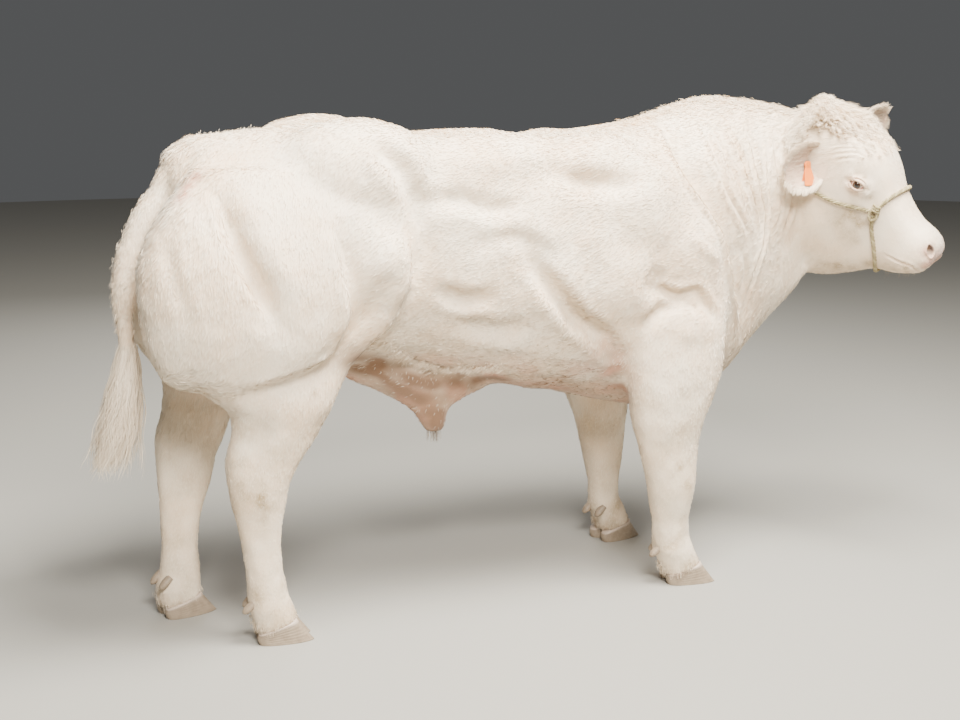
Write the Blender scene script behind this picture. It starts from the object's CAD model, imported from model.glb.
# %% [markdown]
# # A Belgian Blue bull, dressed over its frame
#
# The frame that is loaded here is a bull in plain solids: trunk, neck, head, legs, tail and what it
# wears. This lesson gives it its looks. One skin is drawn over the solids of the flesh, worked by
# strokes like clay, and then covered with tufts of short white coat. Eyes, ears, hooves, the rope
# halter and the ear tag are pieces of their own.

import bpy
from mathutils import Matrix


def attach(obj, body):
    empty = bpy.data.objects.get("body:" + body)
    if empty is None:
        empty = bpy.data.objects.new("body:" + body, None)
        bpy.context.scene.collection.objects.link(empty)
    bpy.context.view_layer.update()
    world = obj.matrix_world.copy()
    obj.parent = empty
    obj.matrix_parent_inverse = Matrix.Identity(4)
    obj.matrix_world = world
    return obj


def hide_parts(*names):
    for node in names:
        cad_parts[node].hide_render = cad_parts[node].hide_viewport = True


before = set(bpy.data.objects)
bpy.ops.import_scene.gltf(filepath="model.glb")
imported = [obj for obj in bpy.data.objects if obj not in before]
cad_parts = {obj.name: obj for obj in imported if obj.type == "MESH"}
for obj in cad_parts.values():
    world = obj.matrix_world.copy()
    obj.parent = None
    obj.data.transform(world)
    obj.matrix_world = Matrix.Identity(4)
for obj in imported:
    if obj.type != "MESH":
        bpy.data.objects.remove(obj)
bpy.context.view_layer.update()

# %% The modules of the lesson
import math

import bmesh
import bpy
import numpy as np
from mathutils import Matrix, Vector
from mathutils.bvhtree import BVHTree

scene = bpy.context.scene

# %% [markdown]
# ## Camera, light and floor
#
# The camera stands at eye height behind the bull's right hip, and looks along its side towards the
# turned head. Sunlight through thin cloud is broad and soft, so a wide area light overhead takes its
# place. A second one of nearly the same power opens the shadows of the near side, a weak third one
# does so on the far side, and a pale world fills the rest.

# %% Camera
FOCAL_PIXELS = 1443.0
FRAME_WIDTH, FRAME_HEIGHT = 960, 720
CAMERA_PLACE = Vector((-1.9196, -3.8001, 1.55))
CAMERA_TURN = (math.radians(78.56), 0.0, math.radians(-25.0))

camera = bpy.data.objects.new("camera", bpy.data.cameras.new("camera"))
camera.data.sensor_width = 36.0
camera.data.lens = FOCAL_PIXELS / FRAME_WIDTH * camera.data.sensor_width
camera.location = CAMERA_PLACE
camera.rotation_euler = CAMERA_TURN
scene.collection.objects.link(camera)
scene.camera = camera
camera_axes = camera.rotation_euler.to_matrix()


def sight(u, v):
    """The direction from the camera through a pixel of the photo's frame."""
    ray = Vector(((u - FRAME_WIDTH / 2) / FOCAL_PIXELS, (FRAME_HEIGHT / 2 - v) / FOCAL_PIXELS, -1.0))
    return (camera_axes @ ray).normalized()


print("lens:", round(camera.data.lens, 2), "mm")

# %% Lights and world
# Place, the point it faces, size, power and colour
LIGHTS = {
    "sky": ((0.5, -1.3, 4.3), (0.0, 0.0, 0.9), (2.2, 1.6), 760.0, (1.0, 0.96, 0.88)),
    "near_side": ((-1.3, -4.4, 4.4), (0.0, 0.0, 0.8), (2.0, 1.4), 720.0, (1.0, 0.95, 0.87)),
    "far_side": ((1.0, 4.6, 3.2), (0.0, 0.0, 0.9), (3.0, 2.5), 130.0, (1.0, 0.98, 0.95)),
}
WORLD_COLOUR, WORLD_STRENGTH = (0.93, 0.95, 0.97, 1.0), 0.1


def area_light(name, place, target, size, power, colour):
    light = bpy.data.lights.new(name, "AREA")
    light.shape = "RECTANGLE"
    light.size, light.size_y = size
    light.energy = power
    light.color = colour
    lamp = bpy.data.objects.new(name, light)
    lamp.location = place
    lamp.rotation_euler = (Vector(target) - Vector(place)).to_track_quat("-Z", "Y").to_euler()
    scene.collection.objects.link(lamp)


for name, row in LIGHTS.items():
    area_light(name, *row)

world = bpy.data.worlds.new("pale")
world.use_nodes = True
world.node_tree.nodes["Background"].inputs["Color"].default_value = WORLD_COLOUR
world.node_tree.nodes["Background"].inputs["Strength"].default_value = WORLD_STRENGTH
scene.world = world
print("lights:", *LIGHTS)

# %% [markdown]
# ## Arrays in and out of meshes
#
# A skin has hundreds of thousands of points and a coat has more, so both are handled as numpy
# arrays and poured into meshes in one go, instead of point by point.

# %% Mesh helpers
def shade_smooth(mesh):
    mesh.polygons.foreach_set("use_smooth", np.ones(len(mesh.polygons), dtype=bool))


def poured(bm, name):
    """A new mesh with what a bmesh holds; the bmesh is freed."""
    mesh = bpy.data.meshes.new(name)
    bm.to_mesh(mesh)
    bm.free()
    return mesh


def mesh_from(name, points, quads=None, triangles=None):
    """A mesh from an array of points and arrays of four-sided and three-sided faces."""
    quads = np.zeros((0, 4), int) if quads is None else np.asarray(quads)
    triangles = np.zeros((0, 3), int) if triangles is None else np.asarray(triangles)
    mesh = bpy.data.meshes.new(name)
    mesh.vertices.add(len(points))
    mesh.vertices.foreach_set("co", np.asarray(points, dtype=np.float32).ravel())
    corners = np.concatenate([quads.ravel(), triangles.ravel()])
    mesh.loops.add(len(corners))
    mesh.loops.foreach_set("vertex_index", corners.astype(np.int32))
    starts = np.concatenate([np.arange(len(quads)) * 4, len(quads) * 4 + np.arange(len(triangles)) * 3])
    mesh.polygons.add(len(starts))
    mesh.polygons.foreach_set("loop_start", starts.astype(np.int32))
    mesh.update(calc_edges=True)
    shade_smooth(mesh)
    return mesh


def shown(name, mesh, look):
    """An object in the scene for a mesh, with its material, riding on the body."""
    obj = bpy.data.objects.new(name, mesh)
    scene.collection.objects.link(obj)
    mesh.materials.append(look)
    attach(obj, "root")
    return obj


def read(items, field, width, kind=np.float32):
    """One field of a mesh's points, edges or corners, as an array with a row for each."""
    flat = np.empty(len(items) * width, dtype=kind)
    items.foreach_get(field, flat)
    return flat.reshape(-1, width)


def points_of(mesh):
    return read(mesh.vertices, "co", 3).astype(float)


def normals_of(mesh):
    return read(mesh.vertex_normals, "vector", 3).astype(float)


def edges_of(mesh):
    return read(mesh.edges, "vertices", 2, np.int32)


def triangles_of(mesh):
    mesh.calc_loop_triangles()
    return read(mesh.loop_triangles, "vertices", 3, np.int32)


def move_points(mesh, points):
    mesh.vertices.foreach_set("co", np.asarray(points, dtype=np.float32).ravel())
    mesh.update()


def placed(place, local):
    """Points given in a frame of their own, in the scene."""
    return local @ np.array(place.to_3x3()).T + np.array(place.translation)


def unit(vectors):
    return vectors / np.maximum(np.linalg.norm(vectors, axis=-1, keepdims=True), 1e-9)


def eased(values, low, high):
    """0 below low, 1 above high and a smooth rise between; falls instead where high is below low."""
    share = np.clip((values - low) / (high - low), 0.0, 1.0)
    return share * share * (3.0 - 2.0 * share)


def smooth_path(points, count):
    """Points on a smooth curve through a few given ones."""
    spots = np.array(points, dtype=float)
    spots = np.vstack([2 * spots[0] - spots[1], spots, 2 * spots[-1] - spots[-2]])
    at = np.linspace(0.0, len(spots) - 3 - 1e-6, count)
    first = at.astype(int)
    t = (at - first)[:, None]
    a, b, c, d = (spots[first + k] for k in range(4))
    bend, twist = 2 * a - 5 * b + 4 * c - d, 3 * b - a - 3 * c + d
    return 0.5 * (2 * b + (c - a) * t + bend * t ** 2 + twist * t ** 3)


# %% [markdown]
# ## One skin for the whole bull
#
# A bull's hide has no seams. The solids of the flesh are therefore copied, swollen by a millimetre so
# that their thin gaps close, and fused with Blender's voxel Remesh into one skin of even small
# faces. The head is lofted afresh from its own sections, because the solid one carries coarse locks
# that fine hair replaces here.

# %% Where the head is, and its sections
PLACE = Vector((0.02, 0.04, 0.0))
HEAD_POLL = Vector((0.995, -0.125, 1.383))
HEAD_YAW, HEAD_PITCH, HEAD_ROLL = -54.0, 42.3, 7.5
# Distance from the poll, top, bottom, half width, height of the widest point, squareness of each half
HEAD_RINGS = (
    (-0.08, -0.005, -0.2, 0.095, -0.08, 2.0, 2.0),
    (-0.04, 0.034, -0.28, 0.118, -0.075, 2.2, 2.0),
    (0.02, 0.06, -0.33, 0.136, -0.065, 2.5, 2.0),
    (0.08, 0.078, -0.368, 0.142, -0.055, 2.8, 2.0),
    (0.14, 0.088, -0.4, 0.142, -0.042, 3.0, 2.0),
    (0.2, 0.085, -0.416, 0.137, -0.033, 3.0, 2.0),
    (0.26, 0.064, -0.412, 0.118, -0.042, 2.8, 2.0),
    (0.32, 0.032, -0.378, 0.096, -0.055, 2.4, 1.9),
    (0.38, 0.01, -0.306, 0.083, -0.07, 2.3, 1.9),
    (0.435, 0.0, -0.226, 0.079, -0.08, 2.3, 2.0),
    (0.485, 0.002, -0.188, 0.082, -0.082, 2.4, 2.2),
    (0.522, -0.012, -0.152, 0.077, -0.08, 2.4, 2.2),
    (0.55, -0.04, -0.115, 0.048, -0.08, 2.2, 2.2),
)
# Lumps on both sides of the head: centre, radii, tilt
HEAD_LUMPS = (
    ((0.13, 0.078, -0.215), (0.13, 0.066, 0.12), 16),
    ((0.205, 0.108, -0.02), (0.06, 0.036, 0.034), 20),
    ((0.226, 0.103, -0.022), (0.058, 0.035, 0.046), 10),
    ((0.52, 0.048, -0.07), (0.034, 0.03, 0.034), 30),
    ((0.035, 0.108, -0.045), (0.045, 0.04, 0.045), 0),
)
POLL_LUMP = ((0.01, 0.0, 0.014), (0.085, 0.09, 0.05), 10)
# The front of the neck: distance along the body, sideways shift, heading, then as for the head
NECK_RINGS = (
    (0.79, -0.012, -12, 1.448, 0.682, 0.183, 1.14, 2.0, 2.1),
    (0.87, -0.026, -20, 1.434, 0.755, 0.16, 1.17, 2.1, 2.1),
    (0.93, -0.032, -28, 1.418, 0.81, 0.148, 1.17, 2.2, 2.0),
    (0.98, -0.04, -34, 1.378, 0.86, 0.124, 1.16, 2.2, 2.0),
)
turn = Matrix.Rotation(math.radians(HEAD_YAW), 4, "Z") @ Matrix.Rotation(math.radians(HEAD_PITCH), 4, "Y")
HEAD = Matrix.Translation(PLACE + HEAD_POLL) @ turn @ Matrix.Rotation(math.radians(HEAD_ROLL), 4, "X")
HEAD_AXES = np.array(HEAD.to_3x3())
HEAD_ORIGIN = np.array(HEAD.translation)


def to_head(points):
    """Points of the scene in the head's own frame: +X to the muzzle, +Y left, +Z out of the forehead."""
    return (points - HEAD_ORIGIN) @ HEAD_AXES


def from_head(points):
    return np.asarray(points) @ HEAD_AXES.T + HEAD_ORIGIN


# %% Lofts and lumps
def oval(side, above, below, square_above, square_below, count):
    """A squared-off oval, as points (sideways, up)."""
    angle = np.arange(count) * math.tau / count
    c, s = np.cos(angle), np.sin(angle)
    power = 2.0 / np.where(s >= 0, square_above, square_below)
    reach = np.where(s >= 0, above, below)
    return np.stack([side * np.sign(c) * np.abs(c) ** power, reach * np.sign(s) * np.abs(s) ** power], 1)


def loft_mesh(name, rings):
    """A closed mesh over rings of points, with fanned ends."""
    rings = np.asarray(rings)
    levels, around = rings.shape[:2]
    points = np.vstack([rings.reshape(-1, 3), rings[0].mean(0), rings[-1].mean(0)])
    level, spot = np.meshgrid(np.arange(levels - 1), np.arange(around), indexing="ij")
    level, spot = level.ravel(), spot.ravel()
    after = (spot + 1) % around
    quads = np.stack([level * around + spot, level * around + after,
                      (level + 1) * around + after, (level + 1) * around + spot], 1)
    ring = np.arange(around)
    far = (levels - 1) * around
    first = np.stack([(ring + 1) % around, ring, np.full(around, levels * around)], 1)
    last = np.stack([far + ring, far + (ring + 1) % around, np.full(around, levels * around + 1)], 1)
    return mesh_from(name, points, quads, np.vstack([first, last]))


def section_loft(name, rows, place_ring, levels=40, around=64):
    """A fine loft whose sections are read from a smooth curve through a few given ones."""
    fine = smooth_path(rows, levels)
    return loft_mesh(name, [place_ring(*row, around) for row in fine])


def head_section(along, top, bottom, half, widest, square_above, square_below, around):
    flat = oval(half, top - widest, widest - bottom, square_above, square_below, around)
    ring = np.column_stack([np.full(around, along), flat[:, 0], widest + flat[:, 1]])
    return from_head(ring)


def neck_section(x, shift, heading, top, bottom, half, widest, square_above, square_below, around):
    flat = oval(half, top - widest, widest - bottom, square_above, square_below, around)
    angle = math.radians(heading)
    ring = np.column_stack([x - math.sin(angle) * flat[:, 0], shift + math.cos(angle) * flat[:, 0],
                            widest + flat[:, 1]])
    return ring + np.array(PLACE)


def lump_mesh(centre, radii, tilt, side=1, within=HEAD):
    bm = bmesh.new()
    bmesh.ops.create_uvsphere(bm, u_segments=32, v_segments=20, radius=1.0)
    middle = Vector((centre[0], side * centre[1], centre[2]))
    place = within @ Matrix.Translation(middle) @ Matrix.Rotation(math.radians(tilt), 4, "Y")
    bmesh.ops.transform(bm, matrix=place @ Matrix.Diagonal((*radii, 1.0)), verts=bm.verts)
    return poured(bm, "lump")


head_meshes = [section_loft("skull", HEAD_RINGS, head_section),
               section_loft("nape", NECK_RINGS, neck_section)]
head_meshes += [lump_mesh(*POLL_LUMP)] + [lump_mesh(*row, side) for row in HEAD_LUMPS for side in (-1, 1)]
print("head pieces:", len(head_meshes))

# %% Fuse the skin
FLESH_NODES = ["torso", "neck", "hindquarters", "tail_upper", "tail_lower", "sheath", "scrotum"]
FLESH_NODES += [f"{limb}_{side}_leg_{part}" for limb in ("fore", "hind") for side in ("right", "left")
                for part in ("upper", "lower")]
GAP_SWELL = 0.001
SKIN_VOXEL = 0.0066
# The tail's firm end inside the switch: place and half width
SWITCH_CORE = (
    (-1.194, -0.02, 0.83, 0.018), (-1.196, -0.02, 0.79, 0.017), (-1.208, -0.018, 0.74, 0.016),
    (-1.23, -0.015, 0.67, 0.012), (-1.246, -0.012, 0.61, 0.007),
)
# The fold of skin that fills the corner between jaw and neck, in the shared frame
THROAT_LUMP = ((0.948, -0.035, 0.886), (0.062, 0.034, 0.03), -38)


def swollen_copy(mesh, by):
    copy = mesh.copy()
    move_points(copy, points_of(copy) + normals_of(copy) * by)
    return copy


def core_section(x, y, z, half, around):
    flat = oval(half, half, half, 2.0, 2.0, around)
    return np.column_stack([x + flat[:, 0], y + flat[:, 1], np.full(around, z)]) + np.array(PLACE)


core_mesh = section_loft("core", SWITCH_CORE, core_section, levels=24, around=16)
extra_meshes = [*head_meshes, core_mesh, lump_mesh(*THROAT_LUMP, within=Matrix.Identity(4))]
bm = bmesh.new()
for mesh in [swollen_copy(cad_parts[n].data, GAP_SWELL) for n in FLESH_NODES] + extra_meshes:
    bm.from_mesh(mesh)
clay = bpy.data.objects.new("clay", poured(bm, "joined"))
scene.collection.objects.link(clay)
remesh = clay.modifiers.new("fuse", "REMESH")
remesh.mode = "VOXEL"
remesh.voxel_size = SKIN_VOXEL
bpy.context.view_layer.update()
skin_mesh = bpy.data.meshes.new_from_object(clay.evaluated_get(bpy.context.evaluated_depsgraph_get()))
bpy.data.objects.remove(clay)
print("skin faces:", len(skin_mesh.polygons))

# %% [markdown]
# ## Strokes
#
# The skin is worked by strokes, like clay: a stroke presses a groove along a line of spots and
# raises its banks a little. A line comes either from the photo's pixels, by a ray from the camera
# through each, or from places along and up the body, by looking squarely at its side.

# %% Strokes
def tree_of(mesh):
    return BVHTree.FromPolygons([v.co for v in mesh.vertices], [p.vertices for p in mesh.polygons])


def opened(mesh):
    """What strokes need: a mesh's search tree, its points and its normals."""
    return tree_of(mesh), points_of(mesh), normals_of(mesh)


def seen_line(tree, pixels, count):
    """Points of the skin under a smooth line of pixels."""
    line = []
    for u, v in smooth_path(pixels, count):
        found = tree.ray_cast(CAMERA_PLACE, sight(u, v))[0]
        if found is not None:
            line.append(found)
    return np.array(line)


def nearest_line(tree, spots):
    return np.array([tree.find_nearest(Vector(spot))[0] for spot in spots])


def mirrored_line(tree, line):
    """The line's match on the other side of the body."""
    flipped = line.copy()
    flipped[:, 1] = 2 * PLACE.y - flipped[:, 1]
    return nearest_line(tree, flipped)


def stroke(points, normals, line, width, depth, bank=0.35, lean=0.0):
    """Presses a groove along a line, with raised banks; a negative depth raises a ridge instead.

    With a lean, the groove falls steeply on one side and rises gently on the other, like the edge of
    a muscle that lies over the next one; the lean's sign says which side is the gentle one.
    """
    span = width * (4.0 + 8.0 * abs(lean))
    low, high = line.min(0) - span, line.max(0) + span
    near = np.flatnonzero(np.all((points > low) & (points < high), axis=1))
    if not len(near):
        return
    count = len(line)
    best = np.full(len(near), 9.0)
    at = np.zeros(len(near), int)
    for i, spot in enumerate(line):
        distance = np.linalg.norm(points[near] - spot, axis=1)
        closer = distance < best
        best[closer] = distance[closer]
        at[closer] = i
    fade = np.minimum(1.0, 3.5 * np.minimum(at + 0.5, count - at - 0.5) / count)
    reach = np.full(len(near), width)
    if lean:
        sideways = np.cross(np.gradient(line, axis=0)[at], normals[near])
        gentle = ((points[near] - line[at]) * sideways).sum(1) * lean > 0
        reach = np.where(gentle, width * (1.0 + 2.5 * abs(lean)), width * (1.0 - 0.35 * abs(lean)))
    groove = np.exp(-((best / reach) ** 2)) - bank * np.exp(-(((best - 1.9 * reach) / reach) ** 2))
    points[near] -= normals[near] * (depth * fade * groove)[:, None]


def side_line(tree, spots, side, count=40):
    """Points of the skin met by looking squarely at one side."""
    line = []
    for x, z in smooth_path(spots, count):
        start = Vector((x + PLACE.x, PLACE.y + side * 2.0, z))
        found = tree.ray_cast(start, Vector((0.0, -side, 0.0)))[0]
        if found is not None:
            line.append(found)
    return np.array(line)


# %% [markdown]
# ## Relax the skin without shrinking it
#
# Averaging each point with its neighbours wipes away the facets of the solids, but it also thins the
# legs. The cure is to average what the averaging took away as well, and to give that back. The head,
# tail and feet are averaged less than the body, so that they keep their edges. At the shoulder and
# the throat, plain averaging melts the solids' steps away.

# %% Smoothing
BODY_ROUNDS, HEAD_ROUNDS, FEET_ROUNDS, MELT_ROUNDS = 34, 5, 8, 70
THROAT_PIXEL = (796, 278)
# The solid's crease before the shoulder, which is filled and drawn anew where the photo has it
SOLID_CREASE = ((0.35, 1.4), (0.38, 1.28), (0.44, 1.18), (0.5, 1.07), (0.53, 0.93), (0.54, 0.8))
CREASE_WIDTH, CREASE_FILL = 0.028, 0.023
# Where the jaw meets the neck, and how far round it the step between them is melted away
THROAT_RADIUS = 0.08
THROAT_PLACE = np.array([0.985, -0.15, 1.01])
THROAT_REACH = np.array([0.12, 0.14, 0.1])


def averaged(values, edges, rounds, share=0.6):
    a, b = edges.T
    count = len(values)
    links = np.bincount(a, minlength=count) + np.bincount(b, minlength=count)
    links = np.maximum(links, 1)[:, None]
    for _ in range(rounds):
        total = np.stack([np.bincount(a, values[b, k], count) + np.bincount(b, values[a, k], count)
                          for k in range(values.shape[1])], 1)
        values = values * (1 - share) + total / links * share
    return values


def relaxed(values, edges, rounds):
    once = averaged(values, edges, rounds)
    return once + averaged(values - once, edges, rounds)


tree, points, normals = opened(skin_mesh)
for side in (-1, 1):
    stroke(points, normals, side_line(tree, SOLID_CREASE, side, 60), CREASE_WIDTH, -CREASE_FILL, 0.0)
move_points(skin_mesh, points)
edges = edges_of(skin_mesh)
in_head = to_head(points)
head_share = eased(in_head[:, 0], -0.1, 0.02) * eased(points[:, 0], 0.86, 0.93)
feet_share = eased(points[:, 2], 0.34, 0.16) * (points[:, 0] > -1.15)
tail_share = eased(points[:, 0], -1.12, -1.16) * eased(points[:, 2], 1.02, 0.96)
body_points = relaxed(points, edges, BODY_ROUNDS)
head_points = relaxed(points, edges, HEAD_ROUNDS)
feet_points = relaxed(points, edges, FEET_ROUNDS)
light = np.maximum(feet_share, tail_share)[:, None]
melted_points = averaged(points, edges, MELT_ROUNDS)
shoulder = eased(points[:, 0], 0.26, 0.36) * eased(points[:, 0], 0.72, 0.6)
shoulder *= eased(points[:, 2], 0.76, 0.86)
shoulder *= eased(points[:, 2], 1.44, 1.36)
throat = np.exp(-((np.linalg.norm((points - THROAT_PLACE) / THROAT_REACH, axis=1)) ** 2) * 1.2)
corner = np.array(tree.ray_cast(CAMERA_PLACE, sight(*THROAT_PIXEL))[0])
near_corner = np.linalg.norm(points - corner, axis=1) / THROAT_RADIUS
throat = np.maximum(throat, np.exp(-(near_corner ** 2) * 0.9))
melted = np.clip(np.maximum(shoulder, 1.3 * throat), 0.0, 1.0)[:, None]
points = body_points * (1 - light) + feet_points * light
points = points * (1 - head_share[:, None]) + head_points * head_share[:, None]
points = points * (1 - melted) + melted_points * melted
move_points(skin_mesh, points)
print("moved by up to", round(float(np.abs(body_points - feet_points).max()) * 1000, 1), "mm")

# %% [markdown]
# ## Work the skin with strokes
#
# This breed carries its muscles almost without fat, so the seams between them show as long soft
# grooves, and the loose skin of the neck hangs in upright folds. Each is one stroke along a line.
# Lines that the photo shows are given as its pixels, and a ray from the camera finds where each
# pixel lies on the skin. The far side gets the same strokes, mirrored.

# %% Work the lines
# The photo's lines on the near side: pixels, width, depth, and the lean to one bank
BODY_STROKES = (
    # front edge of the shoulder
    (((663, 118), (675, 149), (688, 172), (703, 193), (716, 212), (726, 231), (732, 254), (736, 281),
      (741, 305), (742, 325)), 0.02, 0.03, -0.9),
    # seam between the two thigh muscles, and the thigh's front and lower edges
    (((215, 184), (224, 214), (235, 245), (250, 275), (263, 301), (276, 319)), 0.018, 0.023, -0.5),
    (((330, 222), (343, 240), (350, 264), (356, 297), (354, 325), (345, 350), (330, 367), (300, 381),
      (262, 393), (237, 402)), 0.024, 0.03, -0.5),
    (((168, 227), (170, 267), (181, 297), (185, 330)), 0.02, 0.006, 0.0),
    # hollow before the hip
    (((376, 136), (387, 154), (400, 167), (408, 190)), 0.03, 0.016, 0.0),
    # hollow of the flank
    (((402, 258), (390, 290), (374, 320), (356, 343)), 0.045, 0.022, 0.0),
    # under the shoulder and round the elbow
    (((655, 284), (666, 291), (680, 295), (697, 292), (706, 302), (717, 316)), 0.014, 0.016, 0.0),
    (((690, 233), (700, 243), (711, 252), (724, 262)), 0.016, -0.005, 0.0),
)
# The loose folds of the neck, without a lean
NECK_FOLDS = (
    (((700, 116), (709, 138), (719, 163), (728, 190), (741, 216), (750, 237)), 0.0085, 0.006),
    (((704, 147), (716, 166), (728, 193), (743, 218), (752, 240)), 0.007, 0.0034),
    (((722, 119), (734, 141), (743, 160), (751, 184), (760, 215), (765, 237)), 0.008, 0.0075),
    (((712, 128), (724, 152), (735, 176), (747, 203), (756, 228)), 0.0065, 0.004),
    (((744, 122), (753, 146), (760, 178), (765, 207), (766, 229), (763, 248), (757, 266), (751, 285),
      (745, 305)), 0.0085, 0.011),
    (((768, 134), (769, 156), (768, 181), (768, 207), (770, 228)), 0.0065, 0.0055),
    (((776, 127), (776, 149), (779, 171), (782, 193), (781, 215), (773, 234)), 0.007, 0.006),
    (((786, 160), (792, 180), (793, 192), (792, 204), (789, 218), (784, 233)), 0.009, 0.0105),
    (((742, 246), (746, 268), (742, 290)), 0.01, 0.005),
)
# The hollow behind the shoulder's point
DIMPLE = ((650, 272), (658, 276), (668, 280))
DIMPLE_WIDTH, DIMPLE_DEPTH = 0.024, 0.012
BODY_BANK, HEAD_BANK, FOLD_BANK = 0.3, 0.3, 0.45
# Lines of the side, in the bull's own frame: (along, up) points, width, depth
SIDE_STROKES = (
    (((-0.16, 1.08), (-0.09, 0.97), (0.0, 0.87), (0.11, 0.79), (0.18, 0.7)), 0.024, 0.016),
    (((-0.06, 1.265), (0.03, 1.235), (0.15, 1.225), (0.25, 1.27)), 0.032, 0.008),
    (((0.23, 0.8), (0.26, 0.845), (0.32, 0.875), (0.4, 0.87), (0.48, 0.81)), 0.018, 0.01),
    (((-0.41, 0.97), (-0.32, 0.925), (-0.22, 0.935)), 0.022, 0.008),
    (((-0.46, 1.19), (-0.34, 1.2), (-0.22, 1.17), (-0.12, 1.2)), 0.026, 0.01),
    (((-0.34, 0.86), (-0.22, 0.83), (-0.1, 0.84)), 0.03, 0.006),
    (((-0.3, 1.06), (-0.2, 1.1), (-0.1, 1.06), (-0.04, 0.98)), 0.024, 0.007),
)


tree, points, normals = opened(skin_mesh)
for pixels, width, depth, lean in BODY_STROKES:
    line = seen_line(tree, pixels, 90)
    stroke(points, normals, line, width, depth, BODY_BANK, lean)
    stroke(points, normals, mirrored_line(tree, line), width, depth, BODY_BANK, -lean)
for spots, width, depth in SIDE_STROKES:
    for side in (-1, 1):
        stroke(points, normals, side_line(tree, spots, side), width, depth)
dimple = seen_line(tree, DIMPLE, 20)
for line in (dimple, mirrored_line(tree, dimple)):
    stroke(points, normals, line, DIMPLE_WIDTH, DIMPLE_DEPTH, 0.0)
move_points(skin_mesh, points)
print("strokes:", 2 * (len(BODY_STROKES) + len(SIDE_STROKES)))

# %% [markdown]
# ## Slight unevenness
#
# Real flesh is never perfectly even. A few dozen crossing waves, each with its own direction and
# length, give the skin a slow wobble of a millimetre or so that no one would notice as a pattern.

# %% Wobble and coat depth
rng = np.random.default_rng(7)
# Height and length of the slow waves and of the quick ones
SLOW_WAVE, QUICK_WAVE = (0.0011, 0.16), (0.0005, 0.05)
WAVES = 24
# The skin lies this deep under the solids' surface, and the coat brings it back out
COAT_DEPTH = 0.003


def wobble(points, length, waves):
    """A smooth random field between about -1 and 1 whose bumps are about so long."""
    directions = unit(rng.normal(size=(waves, 3))) * (math.tau / length) * rng.uniform(0.6, 1.5, (waves, 1))
    phases = rng.uniform(0, math.tau, waves)
    total = np.zeros(len(points))
    for direction, phase in zip(directions, phases):
        total += np.sin(points @ direction + phase)
    return total / math.sqrt(waves)


points = points_of(skin_mesh)
normals = normals_of(skin_mesh)
in_head = to_head(points)
head_share = eased(in_head[:, 0], -0.02, 0.06) * eased(points[:, 0], 0.86, 0.93)
calm = 1.0 - 0.75 * head_share
move = SLOW_WAVE[0] * wobble(points, SLOW_WAVE[1], WAVES)
move = move + QUICK_WAVE[0] * wobble(points, QUICK_WAVE[1], WAVES)
thin = eased(points[:, 2], 0.3, 0.1)
points += normals * (move * calm - COAT_DEPTH * (1 - 0.6 * thin))[:, None]
move_points(skin_mesh, points)
print("wobble up to", round(float(np.abs(move * calm).max()) * 1000, 1), "mm")

# %% [markdown]
# ## A finer head
#
# Lids, the line of the mouth and the neck's folds need smaller faces than the flank does. The faces
# of the head and neck are each split in four. Then the folds of the neck, the mouth, the muzzle and
# the wrinkles over the eyes are drawn with finer strokes.

# %% Split the head's faces
NECK_FOLDS_FROM, NECK_FOLDS_ABOVE = 0.62, 0.78
HEAD_FROM, HEAD_LOWEST, HEAD_REACH = 0.03, -0.47, 0.25
bm = bmesh.new()
bm.from_mesh(skin_mesh)
bpy.data.meshes.remove(skin_mesh)
head_inverse = HEAD.inverted()
head_faces = []
for face in bm.faces:
    middle = face.calc_center_median()
    spot = head_inverse @ middle
    in_face = spot.x > HEAD_FROM and spot.z > HEAD_LOWEST and abs(spot.y) < HEAD_REACH
    if in_face or (middle.x > NECK_FOLDS_FROM and middle.z > NECK_FOLDS_ABOVE):
        head_faces.append(face)
head_edges = {edge for face in head_faces for edge in face.edges}
bmesh.ops.subdivide_edges(bm, edges=list(head_edges), cuts=1, use_grid_fill=True)
skin_mesh = poured(bm, "skin")
points = points_of(skin_mesh)
in_head = to_head(points)
softened = averaged(points, edges_of(skin_mesh), 3)
share = (eased(in_head[:, 0], 0.02, 0.05) * (points[:, 0] > 0.85))[:, None]
points = points * (1 - share) + softened * share
move_points(skin_mesh, points)
print("skin faces:", len(skin_mesh.polygons))

# %% [markdown]
# The loose skin of the neck hangs in upright folds. They could be sculpted by hand, but strokes along
# the photo's lines put each where it belongs, and the same line mirrored gives the other side.

# %% Folds of the neck
tree, points, normals = opened(skin_mesh)
for pixels, width, depth in NECK_FOLDS:
    line = seen_line(tree, pixels, 90)
    stroke(points, normals, line, width, depth, FOLD_BANK)
    stroke(points, normals, mirrored_line(tree, line), width, depth, FOLD_BANK)
move_points(skin_mesh, points)
print("folds on each side of the neck:", len(NECK_FOLDS))

# %% [markdown]
# The mouth, the muzzle's edge, the cheek and the wrinkles over the eyes are finer strokes. Most are
# given in the head's own frame, where left and right match, and the wrinkles as the photo's pixels.

# %% Strokes of the head
# In the head's frame, left side: spots, width, depth
MOUTH_LINE = ((0.552, 0.0, -0.112), (0.538, 0.046, -0.108), (0.512, 0.072, -0.106), (0.47, 0.076, -0.128),
              (0.425, 0.072, -0.146))
HEAD_STROKES = (
    (MOUTH_LINE, 0.0042, 0.0048),
    (((0.545, 0.012, -0.128), (0.52, 0.052, -0.128), (0.48, 0.066, -0.146)), 0.009, -0.0022),
    (((0.03, 0.165, -0.12), (0.07, 0.15, -0.19), (0.11, 0.15, -0.26)), 0.014, 0.006),
    (((0.24, 0.118, -0.06), (0.3, 0.096, -0.07), (0.35, 0.08, -0.072)), 0.016, -0.003),
    (((0.3, 0.06, 0.02), (0.37, 0.052, -0.002), (0.44, 0.05, -0.014)), 0.014, 0.0022),
)
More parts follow.
